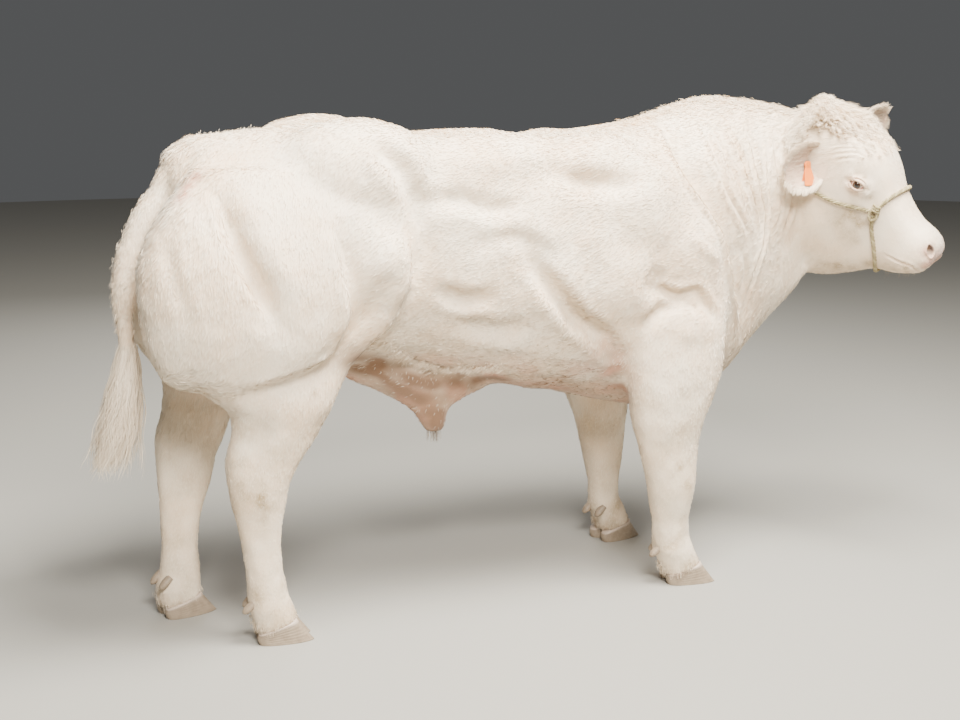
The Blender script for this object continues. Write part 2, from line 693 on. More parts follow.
# The groove down the middle of the upper lip
LIP_GROOVE = ((0.556, 0.0, -0.04), (0.56, 0.0, -0.075), (0.556, 0.0, -0.104))
GROOVE_WIDTH, GROOVE_DEPTH = 0.0045, 0.0035
# Wrinkles over the near eye, as the photo's pixels
BROW_WRINKLES = (
    ((827, 147), (841, 144), (857, 145), (867, 150)),
    ((829, 151), (844, 148), (859, 149), (869, 155)),
    ((826, 156), (841, 153), (858, 153), (868, 160)),
    ((832, 161), (845, 158), (858, 158)),
)
WRINKLE_WIDTH, WRINKLE_DEPTH, WRINKLE_BANK = 0.0042, 0.0016, 0.4

tree, points, normals = opened(skin_mesh)
for spots, width, depth in HEAD_STROKES:
    for side in (-1, 1):
        path = smooth_path([(x, side * y, z) for x, y, z in spots], 50)
        stroke(points, normals, nearest_line(tree, from_head(path)), width, depth, HEAD_BANK)
groove = nearest_line(tree, from_head(smooth_path(LIP_GROOVE, 30)))
stroke(points, normals, groove, GROOVE_WIDTH, GROOVE_DEPTH, HEAD_BANK)
for pixels in BROW_WRINKLES:
    line = seen_line(tree, pixels, 40)
    flipped = to_head(line)
    flipped[:, 1] *= -1
    for path in (line, nearest_line(tree, from_head(flipped))):
        stroke(points, normals, path, WRINKLE_WIDTH, WRINKLE_DEPTH, WRINKLE_BANK)
move_points(skin_mesh, points)
print("strokes of the head:", 2 * (len(HEAD_STROKES) + len(BROW_WRINKLES)) + 1)

# %% [markdown]
# ## Patches for eyes and nostrils
#
# A round patch of the skin is taken out at each eye and nostril. It is filled with rings that run
# from the skin in to a clean rim, and over it into the head. A lid is a fold of skin that lies on the
# eyeball. Its patch has one column of faces for each point of the hole's edge, so the rings stay even
# from the brow in to the rim. The same tool makes the nostril, whose rings go deep into the muzzle.

# %% Patches of rings
# The hole's edge is looked for a little beyond the oval: a square of the share across, a share in depth
EDGE_SEARCH, DEPTH_SEARCH = 2.2, 1.4
LONGEST_LOOP = 2000
LOOP_ROUNDS = 4


def hole_loop(bm, frame_of, reach):
    """Takes out the faces inside an oval and returns the hole's edge, in order, as vertices."""
    inverse = frame_of.inverted()
    doomed = []
    for face in bm.faces:
        spot = inverse @ face.calc_center_median()
        if (spot.x / reach[0]) ** 2 + (spot.y / reach[1]) ** 2 < 1.0 and abs(spot.z) < reach[2]:
            doomed.append(face)
    bmesh.ops.delete(bm, geom=doomed, context="FACES")
    border = {}
    for edge in bm.edges:
        if len(edge.link_faces) == 1:
            for vert in edge.verts:
                spot = inverse @ vert.co
                out = (spot.x / reach[0]) ** 2 + (spot.y / reach[1]) ** 2
                if out < EDGE_SEARCH and abs(spot.z) < reach[2] * DEPTH_SEARCH:
                    border.setdefault(vert, []).append(edge)
    start = max(border, key=lambda vert: (inverse @ vert.co).x)
    loop, previous, vert = [], None, start
    while True:
        loop.append(vert)
        following = [edge.other_vert(vert) for edge in border[vert] if edge.other_vert(vert) is not previous]
        following = [other for other in following if other in border]
        if not following or following[0] is start:
            break
        previous, vert = vert, following[0]
        if len(loop) > LONGEST_LOOP:
            break
    for _ in range(LOOP_ROUNDS):
        spots = [v.co.copy() for v in loop]
        for i, v in enumerate(loop):
            v.co = (spots[i - 1] + spots[i] * 2 + spots[(i + 1) % len(loop)]) / 4
    return loop


def fill_rings(bm, loop, frame_of, rings_of):
    """Fills a hole with rings of faces; rings_of gives a column of points from the edge inwards."""
    inverse = frame_of.inverted()
    columns = []
    for vert in loop:
        spot = inverse @ vert.co
        columns.append([vert] + [bm.verts.new(frame_of @ Vector(p)) for p in rings_of(spot)])
    turning = sum((inverse @ a.co).xy.cross((inverse @ b.co).xy)
                  for a, b in zip(loop, loop[1:] + loop[:1]))
    made = []
    for a, b in zip(columns, columns[1:] + columns[:1]):
        for k in range(len(a) - 1):
            corners = (a[k], b[k], b[k + 1], a[k + 1])
            made.append(bm.faces.new(corners if turning > 0 else corners[::-1]))
    for face in made:
        face.smooth = True


# %% [markdown]
# ## Lids and nostrils
#
# The lids' rim is two half ovals, the upper one higher. Between brow and rim, a few soft ridges and
# grooves make the folds that a lid has when the eye is open. The nostril's rim rises a little out of
# the skin before it turns in.

# %% Lids
EYE_PLACE = Vector((0.227, 0.121, -0.024))
EYE_RADIUS = 0.021
LID_TILT = -16.0
LID_PATCH = (0.046, 0.034, 0.045)
SLIT_HALF_LENGTH, SLIT_ABOVE, SLIT_BELOW = 0.024, 0.0135, 0.0098
LID_RINGS = 20
# The skin's height over the eyeball at the rim and beside it
RIM_OVER, LID_OVER = 0.0032, 0.005
# Folds of the upper and of the lower lid: height, place as a share of the way out, and width
UPPER_FOLDS = ((0.0022, 0.14, 0.1), (-0.0034, 0.36, 0.07), (0.0024, 0.55, 0.14))
LOWER_FOLDS = ((0.0016, 0.16, 0.1), (-0.0016, 0.34, 0.06), (0.0012, 0.5, 0.1), (-0.001, 0.66, 0.06))
# The turn over the rim: shares of the rim's length and height, and height over the eyeball
RIM_TURN = ((0.975, 0.93, 0.0022), (0.965, 0.91, 0.0004), (0.975, 1.02, -0.0006))


def eye_frame(side):
    """At the eye's middle: +X to the muzzle along the lids, +Y towards the brow, +Z out of the head."""
    tilt = Matrix.Rotation(math.radians(LID_TILT), 3, "Y")
    along = tilt @ Vector((1.0, 0.0, 0.0))
    out = Vector((0.1, side * 1.0, 0.02)).normalized()
    up = tilt @ Vector((0.0, 0.0, 1.0))
    along = (along - out * along.dot(out)).normalized()
    up = (up - out * up.dot(out) - along * up.dot(along)).normalized()
    middle = Vector((EYE_PLACE.x, side * EYE_PLACE.y, EYE_PLACE.z))
    turn = Matrix((along, up, out)).transposed().to_4x4()
    return HEAD @ Matrix.Translation(middle) @ turn


def on_ball(x, y, radius):
    return math.sqrt(max(radius * radius - x * x - y * y, 1e-6))


def folded(folds, share):
    return sum(height * math.exp(-(((share - at) / wide) ** 2)) for height, at, wide in folds)


def lid_column(spot):
    """From the patch's edge in to the rim of the lid and over it on to the eyeball."""
    angle = math.atan2(spot.y / LID_PATCH[1], spot.x / LID_PATCH[0])
    c, s = math.cos(angle), math.sin(angle)
    rim_x = SLIT_HALF_LENGTH * c
    rim_y = (SLIT_ABOVE if s > 0 else SLIT_BELOW) * s * (1.0 - 0.25 * c ** 4)
    rim_z = on_ball(rim_x, rim_y, EYE_RADIUS + RIM_OVER)
    column = []
    for k in range(1, LID_RINGS):
        share = 1.0 - k / (LID_RINGS - 1)
        x = rim_x + (spot.x - rim_x) * share
        y = rim_y + (spot.y - rim_y) * share
        line = rim_z + (spot.z - rim_z) * share
        ball = on_ball(x, y, EYE_RADIUS + LID_OVER)
        hug = math.exp(-((share / 0.34) ** 2))
        z = line * (1 - hug) + max(line, ball) * hug
        z += max(s, 0.0) * folded(UPPER_FOLDS, share) + max(-s, 0.0) * folded(LOWER_FOLDS, share)
        column.append((x, y, z))
    for long, high, over in RIM_TURN:
        x, y = rim_x * long, rim_y * high
        column.append((x, y, on_ball(x, y, EYE_RADIUS + over)))
    return column


# %% Nostrils
NOSTRIL_PLACE = Vector((0.52, 0.056, -0.034))
NOSTRIL_PATCH = (0.037, 0.03, 0.034)
NOSTRIL_RINGS = 12
NOSTRIL_HALF_LENGTH, NOSTRIL_HALF_HEIGHT, NOSTRIL_LEAN = 0.0205, 0.0135, 0.005
# Height and width of the rim's rise, and the way in: depth and share of the rim's size
RIM_RISE, RISE_AT, RISE_WIDTH = 0.0034, 0.16, 0.16
NOSTRIL_DEPTHS = ((0.0016, 0.93), (0.006, 0.86), (0.014, 0.8), (0.024, 0.66), (0.032, 0.42), (0.036, 0.08))


def nostril_frame(side, tree):
    """On the muzzle: +X along the nostril, down and forwards, +Z out of the skin."""
    spot = HEAD @ Vector((NOSTRIL_PLACE.x, side * NOSTRIL_PLACE.y, NOSTRIL_PLACE.z))
    found, out, _, _ = tree.find_nearest(spot)
    along = HEAD.to_3x3() @ Vector((0.62, -side * 0.1, -0.75))
    along = (along - out * along.dot(out)).normalized()
    up = out.cross(along)
    return Matrix.Translation(found) @ Matrix((along, up, out)).transposed().to_4x4()


def nostril_column(side):
    def column_of(spot):
        angle = math.atan2(spot.y / NOSTRIL_PATCH[1], spot.x / NOSTRIL_PATCH[0])
        c, s = math.cos(angle), math.sin(angle)
        narrow = 1.0 - 0.35 * max(0.0, -c)
        rim_x = NOSTRIL_HALF_LENGTH * c
        rim_y = NOSTRIL_HALF_HEIGHT * s * narrow + side * NOSTRIL_LEAN * (1 - c) * 0.5
        column = []
        for k in range(1, NOSTRIL_RINGS):
            share = 1.0 - k / (NOSTRIL_RINGS - 1)
            x = rim_x + (spot.x - rim_x) * share
            y = rim_y + (spot.y - rim_y) * share
            z = spot.z * share + RIM_RISE * math.exp(-(((share - RISE_AT) / RISE_WIDTH) ** 2))
            column.append((x, y, z))
        for depth, scale in NOSTRIL_DEPTHS:
            column.append((rim_x * scale - depth * 0.25, rim_y * scale, -depth))
        return column
    return column_of


# %% Set the patches in
bm = bmesh.new()
bm.from_mesh(skin_mesh)
skin_tree = tree_of(skin_mesh)
bpy.data.meshes.remove(skin_mesh)
for side in (-1, 1):
    place = eye_frame(side)
    loop = hole_loop(bm, place, LID_PATCH)
    fill_rings(bm, loop, place, lid_column)
    place = nostril_frame(side, skin_tree)
    rim = hole_loop(bm, place, NOSTRIL_PATCH)
    fill_rings(bm, rim, place, nostril_column(side))
    print("eye hole:", len(loop), "points, nostril:", len(rim))
skin_mesh = poured(bm, "skin")
shade_smooth(skin_mesh)

# %% [markdown]
# ## Fewer faces
#
# The fine faces were needed to press lines and folds. Now that the shape is finished, half of them
# can go: collapsing the shortest edges keeps the folds and thins the smooth parts.

# %% Thin the skin's faces
FACES_KEPT = 0.5
clay = bpy.data.objects.new("clay", skin_mesh)
scene.collection.objects.link(clay)
collapse = clay.modifiers.new("collapse", "DECIMATE")
collapse.ratio = FACES_KEPT
bpy.context.view_layer.update()
skin_mesh = bpy.data.meshes.new_from_object(clay.evaluated_get(bpy.context.evaluated_depsgraph_get()))
bpy.data.objects.remove(clay)
print("faces kept:", len(skin_mesh.polygons))

# %% [markdown]
# ## Where the hide is bare, stained or dark
#
# The skin and the coat over it have to carry the same markings, so each marking is a number on every
# point of the skin: how bare and pink it is, how stained, how creamy, how dark, and how umber, like
# the thin skin before the thigh. The tufts copy these numbers from the place where they are rooted.

# %% Markings
points = points_of(skin_mesh)
normals = normals_of(skin_mesh)
in_head = to_head(points)
on_head = eased(in_head[:, 0], -0.06, 0.02) * (points[:, 0] > 0.85)
skin_tree = tree_of(skin_mesh)


def spot_mark(places, radius, strength=1.0):
    """1 at given places of the skin, fading out over a radius."""
    mark = np.zeros(len(points))
    for place in places:
        distance = np.linalg.norm(points - np.array(place), axis=1)
        mark = np.maximum(mark, strength * np.exp(-((distance / radius) ** 2)))
    return mark


def seen_spots(pixels):
    found = [skin_tree.ray_cast(CAMERA_PLACE, sight(u, v))[0] for u, v in pixels]
    return [f for f in found if f is not None]


def head_spots(spots):
    return [HEAD @ Vector((x, side * y, z)) for x, y, z in spots for side in (-1, 1)]


def patchy(mark, length, amount=0.6):
    """Breaks a mark up, so that its edge isn't a perfect circle."""
    return np.clip(mark * (1.0 + amount * wobble(points, length, 20)), 0.0, 1.0)


# Brown stains of the near side: the photo's pixels, radius, strength, and the size and the amount of
# the patches that break them up
STAINS = (
    (((845, 215), (856, 222), (850, 233), (843, 226)), 0.036, 0.75, 0.06, 0.5),
    (((826, 264), (838, 266), (852, 267), (868, 264)), 0.02, 0.85, 0.06, 0.4),
    (((905, 268), (890, 266)), 0.026, 0.4, 0.03, 0.8),
    (((815, 122), (820, 130), (812, 130)), 0.03, 0.42, 0.04, 0.7),
    (((858, 172), (864, 176)), 0.012, 0.55, 0.02, 0.5),
    (((865, 191), (871, 197)), 0.008, 0.6, 0.02, 0.5),
    (((236, 470), (246, 480), (262, 512), (255, 495)), 0.045, 0.6, 0.05, 0.9),
    (((683, 470), (690, 480)), 0.045, 0.5, 0.05, 0.9),
    (((315, 393),), 0.012, 0.6, 0.02, 0.6),
)
ELBOW_PIXELS, UNDER_TAIL_PIXELS = ((606, 356), (614, 372), (622, 388)), ((182, 196), (188, 186), (196, 176))
# The dark bare skin before the thigh and round the sheath, as the photo's pixels
BARE_FOLD = ((352, 357), (365, 358), (378, 362), (391, 368), (404, 375), (418, 381), (432, 384), (446, 384),
             (460, 382), (474, 380), (487, 378), (498, 379), (362, 369), (377, 374), (391, 384), (405, 393),
             (418, 398), (431, 400), (442, 398), (430, 412), (440, 414), (433, 424), (440, 427))

# %% Bare, stained and dark places
body_x = points[:, 0] - PLACE.x
belly = eased(normals[:, 2], -0.45, -0.85) * eased(points[:, 2], 0.8, 0.66) * (np.abs(body_x + 0.15) < 0.75)
elbow = spot_mark(seen_spots(ELBOW_PIXELS), 0.055)
by_sheath = (body_x > -0.62) & (body_x < -0.12) & (np.abs(points[:, 1] - PLACE.y) < 0.13)
sheath_low = eased(points[:, 2], 0.7, 0.6) * by_sheath
under_tail = spot_mark(seen_spots(UNDER_TAIL_PIXELS), 0.02)
groin = eased(points[:, 2], 0.62, 0.7) * spot_mark([PLACE + Vector((-0.8, 0.0, 0.72))], 0.17)
eye_rims = spot_mark(head_spots([(0.227, 0.142, -0.024)]), 0.03)
muzzle = eased(in_head[:, 0], 0.515, 0.545) * eased(in_head[:, 2], -0.105, -0.085) * on_head
nostril_rims = spot_mark(head_spots([(0.52, 0.066, -0.036)]), 0.026)
lips = spot_mark([HEAD @ Vector(p) for p in smooth_path(MOUTH_LINE, 14)]
                 + [HEAD @ Vector((p[0], -p[1], p[2])) for p in smooth_path(MOUTH_LINE, 14)], 0.011)

bare = np.maximum.reduce([
    patchy(belly * 0.55, 0.12), patchy(elbow * 0.75, 0.1), patchy(sheath_low * 0.85, 0.1), under_tail,
    patchy(groin * 0.9, 0.09), eye_rims * 0.62, muzzle * 0.8, nostril_rims * 0.9, lips * 0.16])
stains = [patchy(spot_mark(seen_spots(pixels), radius, strength), length, amount)
          for pixels, radius, strength, length, amount in STAINS]
stain = np.maximum.reduce(stains + [
    patchy(eased(points[:, 2], 0.42, 0.1) * 0.34, 0.09, 0.9),
    patchy(eased(points[:, 2], 0.74, 0.6) * 0.2, 0.12, 0.9)])
cream = np.clip(0.5 + 0.35 * wobble(points, 0.35, 16) + 0.2 * wobble(points, 0.1, 16), 0.0, 1.0)
inside_nostrils = spot_mark(head_spots([(0.506, 0.052, -0.034), (0.512, 0.05, -0.034)]), 0.0135)
dark = np.maximum.reduce([np.clip(inside_nostrils * 1.6, 0.0, 1.0), patchy(nostril_rims * 0.3, 0.012, 1.2),
                          patchy(muzzle * eased(in_head[:, 2], -0.09, -0.06) * 0.28, 0.01, 1.4)])
fold_spots = seen_spots([tuple(p) for p in smooth_path(BARE_FOLD, 110)])
fold_spots += [Vector((x, 2 * PLACE.y - y, z)) for x, y, z in fold_spots]
under_trunk = eased(normals[:, 2], -0.7, -0.95) * eased(points[:, 2], 0.84, 0.72)
under_trunk *= np.abs(body_x + 0.15) < 0.7
umber = np.maximum.reduce([patchy(spot_mark(fold_spots, 0.04, 0.94), 0.09, 0.22),
                           patchy(under_trunk * 0.45, 0.06, 0.3),
                           sheath_low * eased(points[:, 2], 0.54, 0.49) * 0.8,
                           patchy(elbow * 0.4, 0.06, 0.3)])
MARKS = {"bare": bare, "stain": stain, "cream": cream, "dark": dark, "umber": umber}


def write_marks(mesh, marks):
    for name, values in marks.items():
        layer = mesh.attributes.new(name, "FLOAT", "POINT")
        layer.data.foreach_set("value", np.asarray(values, dtype=np.float32))


write_marks(skin_mesh, MARKS)
print("bare points:", int((bare > 0.5).sum()), "stained:", int((stain > 0.4).sum()))

# %% [markdown]
# ## The hide's material
#
# The hide's colour is mixed step by step from the marks: cream coat, pink skin, brown stain, umber
# skin, dark muzzle. A fine noise breaks most steps, and a second one raises the nap of the short coat
# as a bump. The coat material is the same without the bump, with a little more sheen and a tint for
# each tuft.

# %% Node helpers
def new_material(name):
    made = bpy.data.materials.new(name)
    made.use_nodes = True
    return made, made.node_tree, made.node_tree.nodes["Principled BSDF"]


def set_inputs(node, values):
    for label, value in values.items():
        node.inputs[label].default_value = value


def mark_node(tree, name):
    node = tree.nodes.new("ShaderNodeAttribute")
    node.attribute_name = name
    return node.outputs["Fac"]


def noise_node(tree, size, detail=4.0, rough=0.55):
    node = tree.nodes.new("ShaderNodeTexNoise")
    set_inputs(node, {"Scale": 1.0 / size, "Detail": detail, "Roughness": rough})
    place = tree.nodes.new("ShaderNodeTexCoord")
    tree.links.new(place.outputs["Object"], node.inputs["Vector"])
    return node.outputs["Fac"]


def sum_node(tree, operation, a, b):
    """Two numbers or outputs joined by an operation, kept between 0 and 1."""
    node = tree.nodes.new("ShaderNodeMath")
    node.operation = operation
    node.use_clamp = True
    for socket, value in zip(node.inputs, (a, b)):
        if isinstance(value, (int, float)):
            socket.default_value = value
        else:
            tree.links.new(value, socket)
    return node.outputs["Value"]


def mix_node(tree, share, a, b):
    """A colour between a and b; each may be a colour or another node's output."""
    node = tree.nodes.new("ShaderNodeMix")
    node.data_type = "RGBA"
    sockets = [s for s in node.inputs if s.enabled]
    for socket, value in zip(sockets, (share, a, b)):
        if isinstance(value, tuple):
            socket.default_value = (*value, 1.0)
        elif isinstance(value, (int, float)):
            socket.default_value = value
        else:
            tree.links.new(value, socket)
    return [s for s in node.outputs if s.enabled][0]


def bump_node(tree, height, strength, distance):
    node = tree.nodes.new("ShaderNodeBump")
    set_inputs(node, {"Strength": strength, "Distance": distance})
    tree.links.new(height, node.inputs["Height"])
    return node.outputs["Normal"]


# %% Hide and coat
WHITE_COAT = (0.91, 0.785, 0.62)
CREAM_COAT = (0.86, 0.65, 0.43)
PINK_SKIN = (0.66, 0.34, 0.23)
STAIN_BROWN = (0.4, 0.285, 0.15)
MUZZLE_GREY = (0.11, 0.085, 0.085)
UMBER_SKIN = (0.23, 0.13, 0.075)
PALE_TUFT, DEEP_TUFT = (0.95, 0.88, 0.74), (0.72, 0.56, 0.37)


def hide_colour(tree):
    fine = noise_node(tree, 0.012, 6.0, 0.65)
    broad = noise_node(tree, 0.15, 4.0, 0.55)
    creamy = sum_node(tree, "MULTIPLY", mark_node(tree, "cream"), sum_node(tree, "ADD", broad, 0.15))
    colour = mix_node(tree, creamy, WHITE_COAT, CREAM_COAT)
    pink = sum_node(tree, "MULTIPLY", mark_node(tree, "bare"), sum_node(tree, "ADD", fine, 0.45))
    colour = mix_node(tree, pink, colour, PINK_SKIN)
    brown = sum_node(tree, "MULTIPLY", mark_node(tree, "stain"), sum_node(tree, "MULTIPLY", fine, 1.7))
    colour = mix_node(tree, brown, colour, STAIN_BROWN)
    colour = mix_node(tree, mark_node(tree, "umber"), colour, UMBER_SKIN)
    grey = sum_node(tree, "MULTIPLY", mark_node(tree, "dark"), sum_node(tree, "MULTIPLY", fine, 1.9))
    return mix_node(tree, grey, colour, MUZZLE_GREY)


hide, tree_nodes, shader = new_material("hide")
tree_nodes.links.new(hide_colour(tree_nodes), shader.inputs["Base Color"])
set_inputs(shader, {"Roughness": 0.72, "Sheen Weight": 0.25, "Sheen Roughness": 0.5,
                    "Specular IOR Level": 0.25})
nap = noise_node(tree_nodes, 0.0045, 5.0, 0.7)
tree_nodes.links.new(bump_node(tree_nodes, nap, 0.45, 0.0016), shader.inputs["Normal"])

coat, tree_nodes, shader = new_material("coat")
base = hide_colour(tree_nodes)
tint = mark_node(tree_nodes, "tint")
base = mix_node(tree_nodes, sum_node(tree_nodes, "MULTIPLY", tint, 0.45), base, PALE_TUFT)
shade = sum_node(tree_nodes, "SUBTRACT", 0.3, tint)
base = mix_node(tree_nodes, sum_node(tree_nodes, "MULTIPLY", shade, 0.6), base, DEEP_TUFT)
tree_nodes.links.new(base, shader.inputs["Base Color"])
set_inputs(shader, {"Roughness": 0.6, "Sheen Weight": 0.3, "Sheen Roughness": 0.45,
                    "Specular IOR Level": 0.3})
print("materials:", hide.name, coat.name)

# %% Show the skin
skin = shown("skin", skin_mesh, hide)
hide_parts(*FLESH_NODES, "head")
print("skin shown in the place of", len(FLESH_NODES) + 1, "nodes")

# %% [markdown]
# ## Eyes
#
# The eye of cattle is a dark wet ball with a long pupil that lies level, and only a little of the white
# shows at its corners. One sphere with a slightly raised cornea is enough, since numbers on its
# points say where the iris, the pupil and the pink corners are.

# %% Eyeballs
EYE_WHITE, IRIS_BROWN, PUPIL_BLACK = (0.46, 0.36, 0.29), (0.04, 0.018, 0.009), (0.003, 0.003, 0.005)
CORNER_PINK = (0.62, 0.24, 0.2)
IRIS_ANGLE = 0.62
PUPIL_HALF = (0.0075, 0.0042)
CORNEA_RISE, CORNEA_ANGLE = 0.0013, 0.42

eye_look, tree_nodes, shader = new_material("eye")
base = mix_node(tree_nodes, mark_node(tree_nodes, "iris"), EYE_WHITE, IRIS_BROWN)
base = mix_node(tree_nodes, mark_node(tree_nodes, "pupil"), base, PUPIL_BLACK)
base = mix_node(tree_nodes, mark_node(tree_nodes, "corner"), base, CORNER_PINK)
tree_nodes.links.new(base, shader.inputs["Base Color"])
set_inputs(shader, {"Roughness": 0.1, "Coat Weight": 1.0, "Coat Roughness": 0.03})


def eyeball(side, name):
    bm = bmesh.new()
    bmesh.ops.create_uvsphere(bm, u_segments=56, v_segments=44, radius=EYE_RADIUS - 0.0002)
    mesh = poured(bm, name)
    local = points_of(mesh)
    polar = np.arccos(np.clip(unit(local)[:, 2], -1.0, 1.0))
    iris = eased(polar, IRIS_ANGLE + 0.03, IRIS_ANGLE - 0.03)
    pupil = eased(np.hypot(local[:, 0] / PUPIL_HALF[0], local[:, 1] / PUPIL_HALF[1]), 1.08, 0.92)
    corner = eased(np.abs(local[:, 0]), 0.0145, 0.0185) * (local[:, 2] > 0)
    write_marks(mesh, {"iris": iris, "pupil": pupil * (local[:, 2] > 0), "corner": corner})
    local *= (1.0 + CORNEA_RISE / EYE_RADIUS * np.exp(-((polar / CORNEA_ANGLE) ** 2)))[:, None]
    move_points(mesh, placed(eye_frame(side), local))
    shade_smooth(mesh)
    ball = shown(name, mesh, eye_look)
    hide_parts(name)
    print(name, len(mesh.polygons), "faces")


for side, name in ((-1, "eye_right"), (1, "eye_left")):
    eyeball(side, name)

# %% [markdown]
# ## Ears
#
# Each ear is a cupped leaf. The hollow side is bare and pink, the back is furry, and both are one
# closed shell, lofted from root to tip. The right ear droops and carries the tag, and the left one
# is held up and forward.

# %% Ear shells
EAR_LENGTH, EAR_THICKNESS, EAR_BEND = 0.176, 0.007, 0.022
# Half width and cup depth from the root to the tip
EAR_STATIONS = (
    (0.04, 0.036), (0.052, 0.038), (0.062, 0.036), (0.067, 0.032), (0.067, 0.027),
    (0.064, 0.022), (0.056, 0.016), (0.043, 0.01), (0.02, 0.005),
)
# Root, the way the ear points and the way its hollow faces, in the head's frame
EARS = {
    "right": ((0.098, -0.112, -0.038), (-0.06, -0.9, -0.34), (0.6, -0.34, 0.66)),
    "left": ((0.08, 0.112, -0.026), (0.14, 0.8, 0.56), (0.78, -0.1, 0.4)),
}
EAR_RINGS, EAR_ACROSS = 44, 25
EAR_TIP_SHARE = 0.86
EAR_STEPS = 200
fine_stations = smooth_path(EAR_STATIONS, EAR_STEPS)


def ear_frame(label):
    """The ear's own frame: +X out along it, +Z out of its hollow side."""
    root, along, opening = (Vector(v) for v in EARS[label])
    along.normalize()
    opening = (opening - along * opening.dot(along)).normalized()
    turn = Matrix((along, opening.cross(along), opening)).transposed().to_4x4()
    return HEAD @ Matrix.Translation(root) @ turn


def ear_spot(share, across):
    """Points of the ear's hollow face, from root to tip and from edge to edge."""
    width, depth = fine_stations[int(round(share * (EAR_STEPS - 1)))]
    if share > EAR_TIP_SHARE:
        width *= math.sqrt(max(0.0, 1.0 - ((share - EAR_TIP_SHARE) / (1.0 - EAR_TIP_SHARE)) ** 2)) + 0.02
    ripple = 0.0012 * np.sin(share * 17.0 + across * 2.0) * across ** 2
    height = -EAR_BEND * share * share - depth * (1 - across * across) + ripple
    return np.stack([share * EAR_LENGTH + 0.0 * across, width * across, height], 1)


def ear_shell(label):
    steps = np.linspace(-1.0, 1.0, EAR_ACROSS)
    rings = []
    for station in range(EAR_RINGS):
        share = station / (EAR_RINGS - 1)
        inner = ear_spot(share, steps)
        outer = ear_spot(share, steps[::-1] * 0.98)
        outer[:, 2] -= EAR_THICKNESS * (1.0 - 0.55 * steps ** 2) * (1.0 - 0.45 * share)
        rings.append(np.vstack([inner, outer]))
    rings = np.array(rings)
    return loft_mesh(f"ear_{label}", placed(ear_frame(label), rings.reshape(-1, 3)).reshape(rings.shape))


ear_inside = np.tile(np.concatenate([np.ones(EAR_ACROSS), np.zeros(EAR_ACROSS)]), EAR_RINGS)
ear_edge = np.tile(np.abs(np.concatenate([np.linspace(-1, 1, EAR_ACROSS)] * 2)), EAR_RINGS)
ear_share = np.repeat(np.linspace(0, 1, EAR_RINGS), 2 * EAR_ACROSS)
for label in EARS:
    mesh = ear_shell(label)
    pink = np.append(ear_inside * (0.5 - 0.35 * ear_edge ** 4) + (1 - ear_inside) * 0.1, [0.2, 0.2])
    shadow = np.append(ear_inside * eased(ear_share, 0.45, 0.1) * 0.35, [0.0, 0.0])
    count = len(mesh.vertices)
    write_marks(mesh, {"bare": pink, "stain": shadow, "cream": np.full(count, 0.4),
                       "dark": np.zeros(count), "umber": np.zeros(count)})
    shown(f"ear_{label}", mesh, hide)
    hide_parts(f"ear_{label}")

# %% [markdown]
# ## Hooves
#
# A hoof is two claws of horn. Horn grows down from the coronet in thin rings, so each claw has faint
# ridges that run level round it, darker streaks, and a paler band at the top. The two dewclaws hang
# behind the fetlock.

# %% Horn
CLAW_LENGTH, CLAW_HALF_WIDTH, CLAW_APART = 0.15, 0.0275, 0.0292
TOE_SLOPE, CORONET_HEIGHT, CORONET_SLOPE = 0.75, 0.0545, math.tan(math.radians(18.0))
CLAW_AROUND, CLAW_LEVELS = 56, 26
DEWCLAW_RADIUS, DEWCLAW_LENGTH, DEWCLAW_APART, DEWCLAW_HEIGHT = 0.014, 0.03, 0.028, 0.112
DEWCLAW_RINGS, DEWCLAW_AROUND = 14, 20
# Middle of each foot's sole along and across the body, and its heading
FEET = {
    "fore_right": (0.437, -0.263, -12.0),
    "fore_left": (0.448, 0.201, 10.0),
    "hind_right": (-0.834, -0.188, -8.0),
    "hind_left": (-1.03, 0.128, 10.0),
}
PALE_HORN, BROWN_HORN, BAND_HORN = (0.46, 0.37, 0.27), (0.17, 0.12, 0.08), (0.56, 0.45, 0.36)

horn, tree_nodes, shader = new_material("horn")
streaks = noise_node(tree_nodes, 0.02, 5.0, 0.6)
base = mix_node(tree_nodes, streaks, PALE_HORN, BROWN_HORN)
base = mix_node(tree_nodes, mark_node(tree_nodes, "band"), base, BAND_HORN)
tree_nodes.links.new(base, shader.inputs["Base Color"])
set_inputs(shader, {"Roughness": 0.48})
tree_nodes.links.new(bump_node(tree_nodes, noise_node(tree_nodes, 0.003), 0.25, 0.0006),
                     shader.inputs["Normal"])


def foot_frame(foot):
    x, y, heading = FEET[foot]
    return Matrix.Translation(PLACE + Vector((x, y, 0.0))) @ Matrix.Rotation(math.radians(heading), 4, "Z")


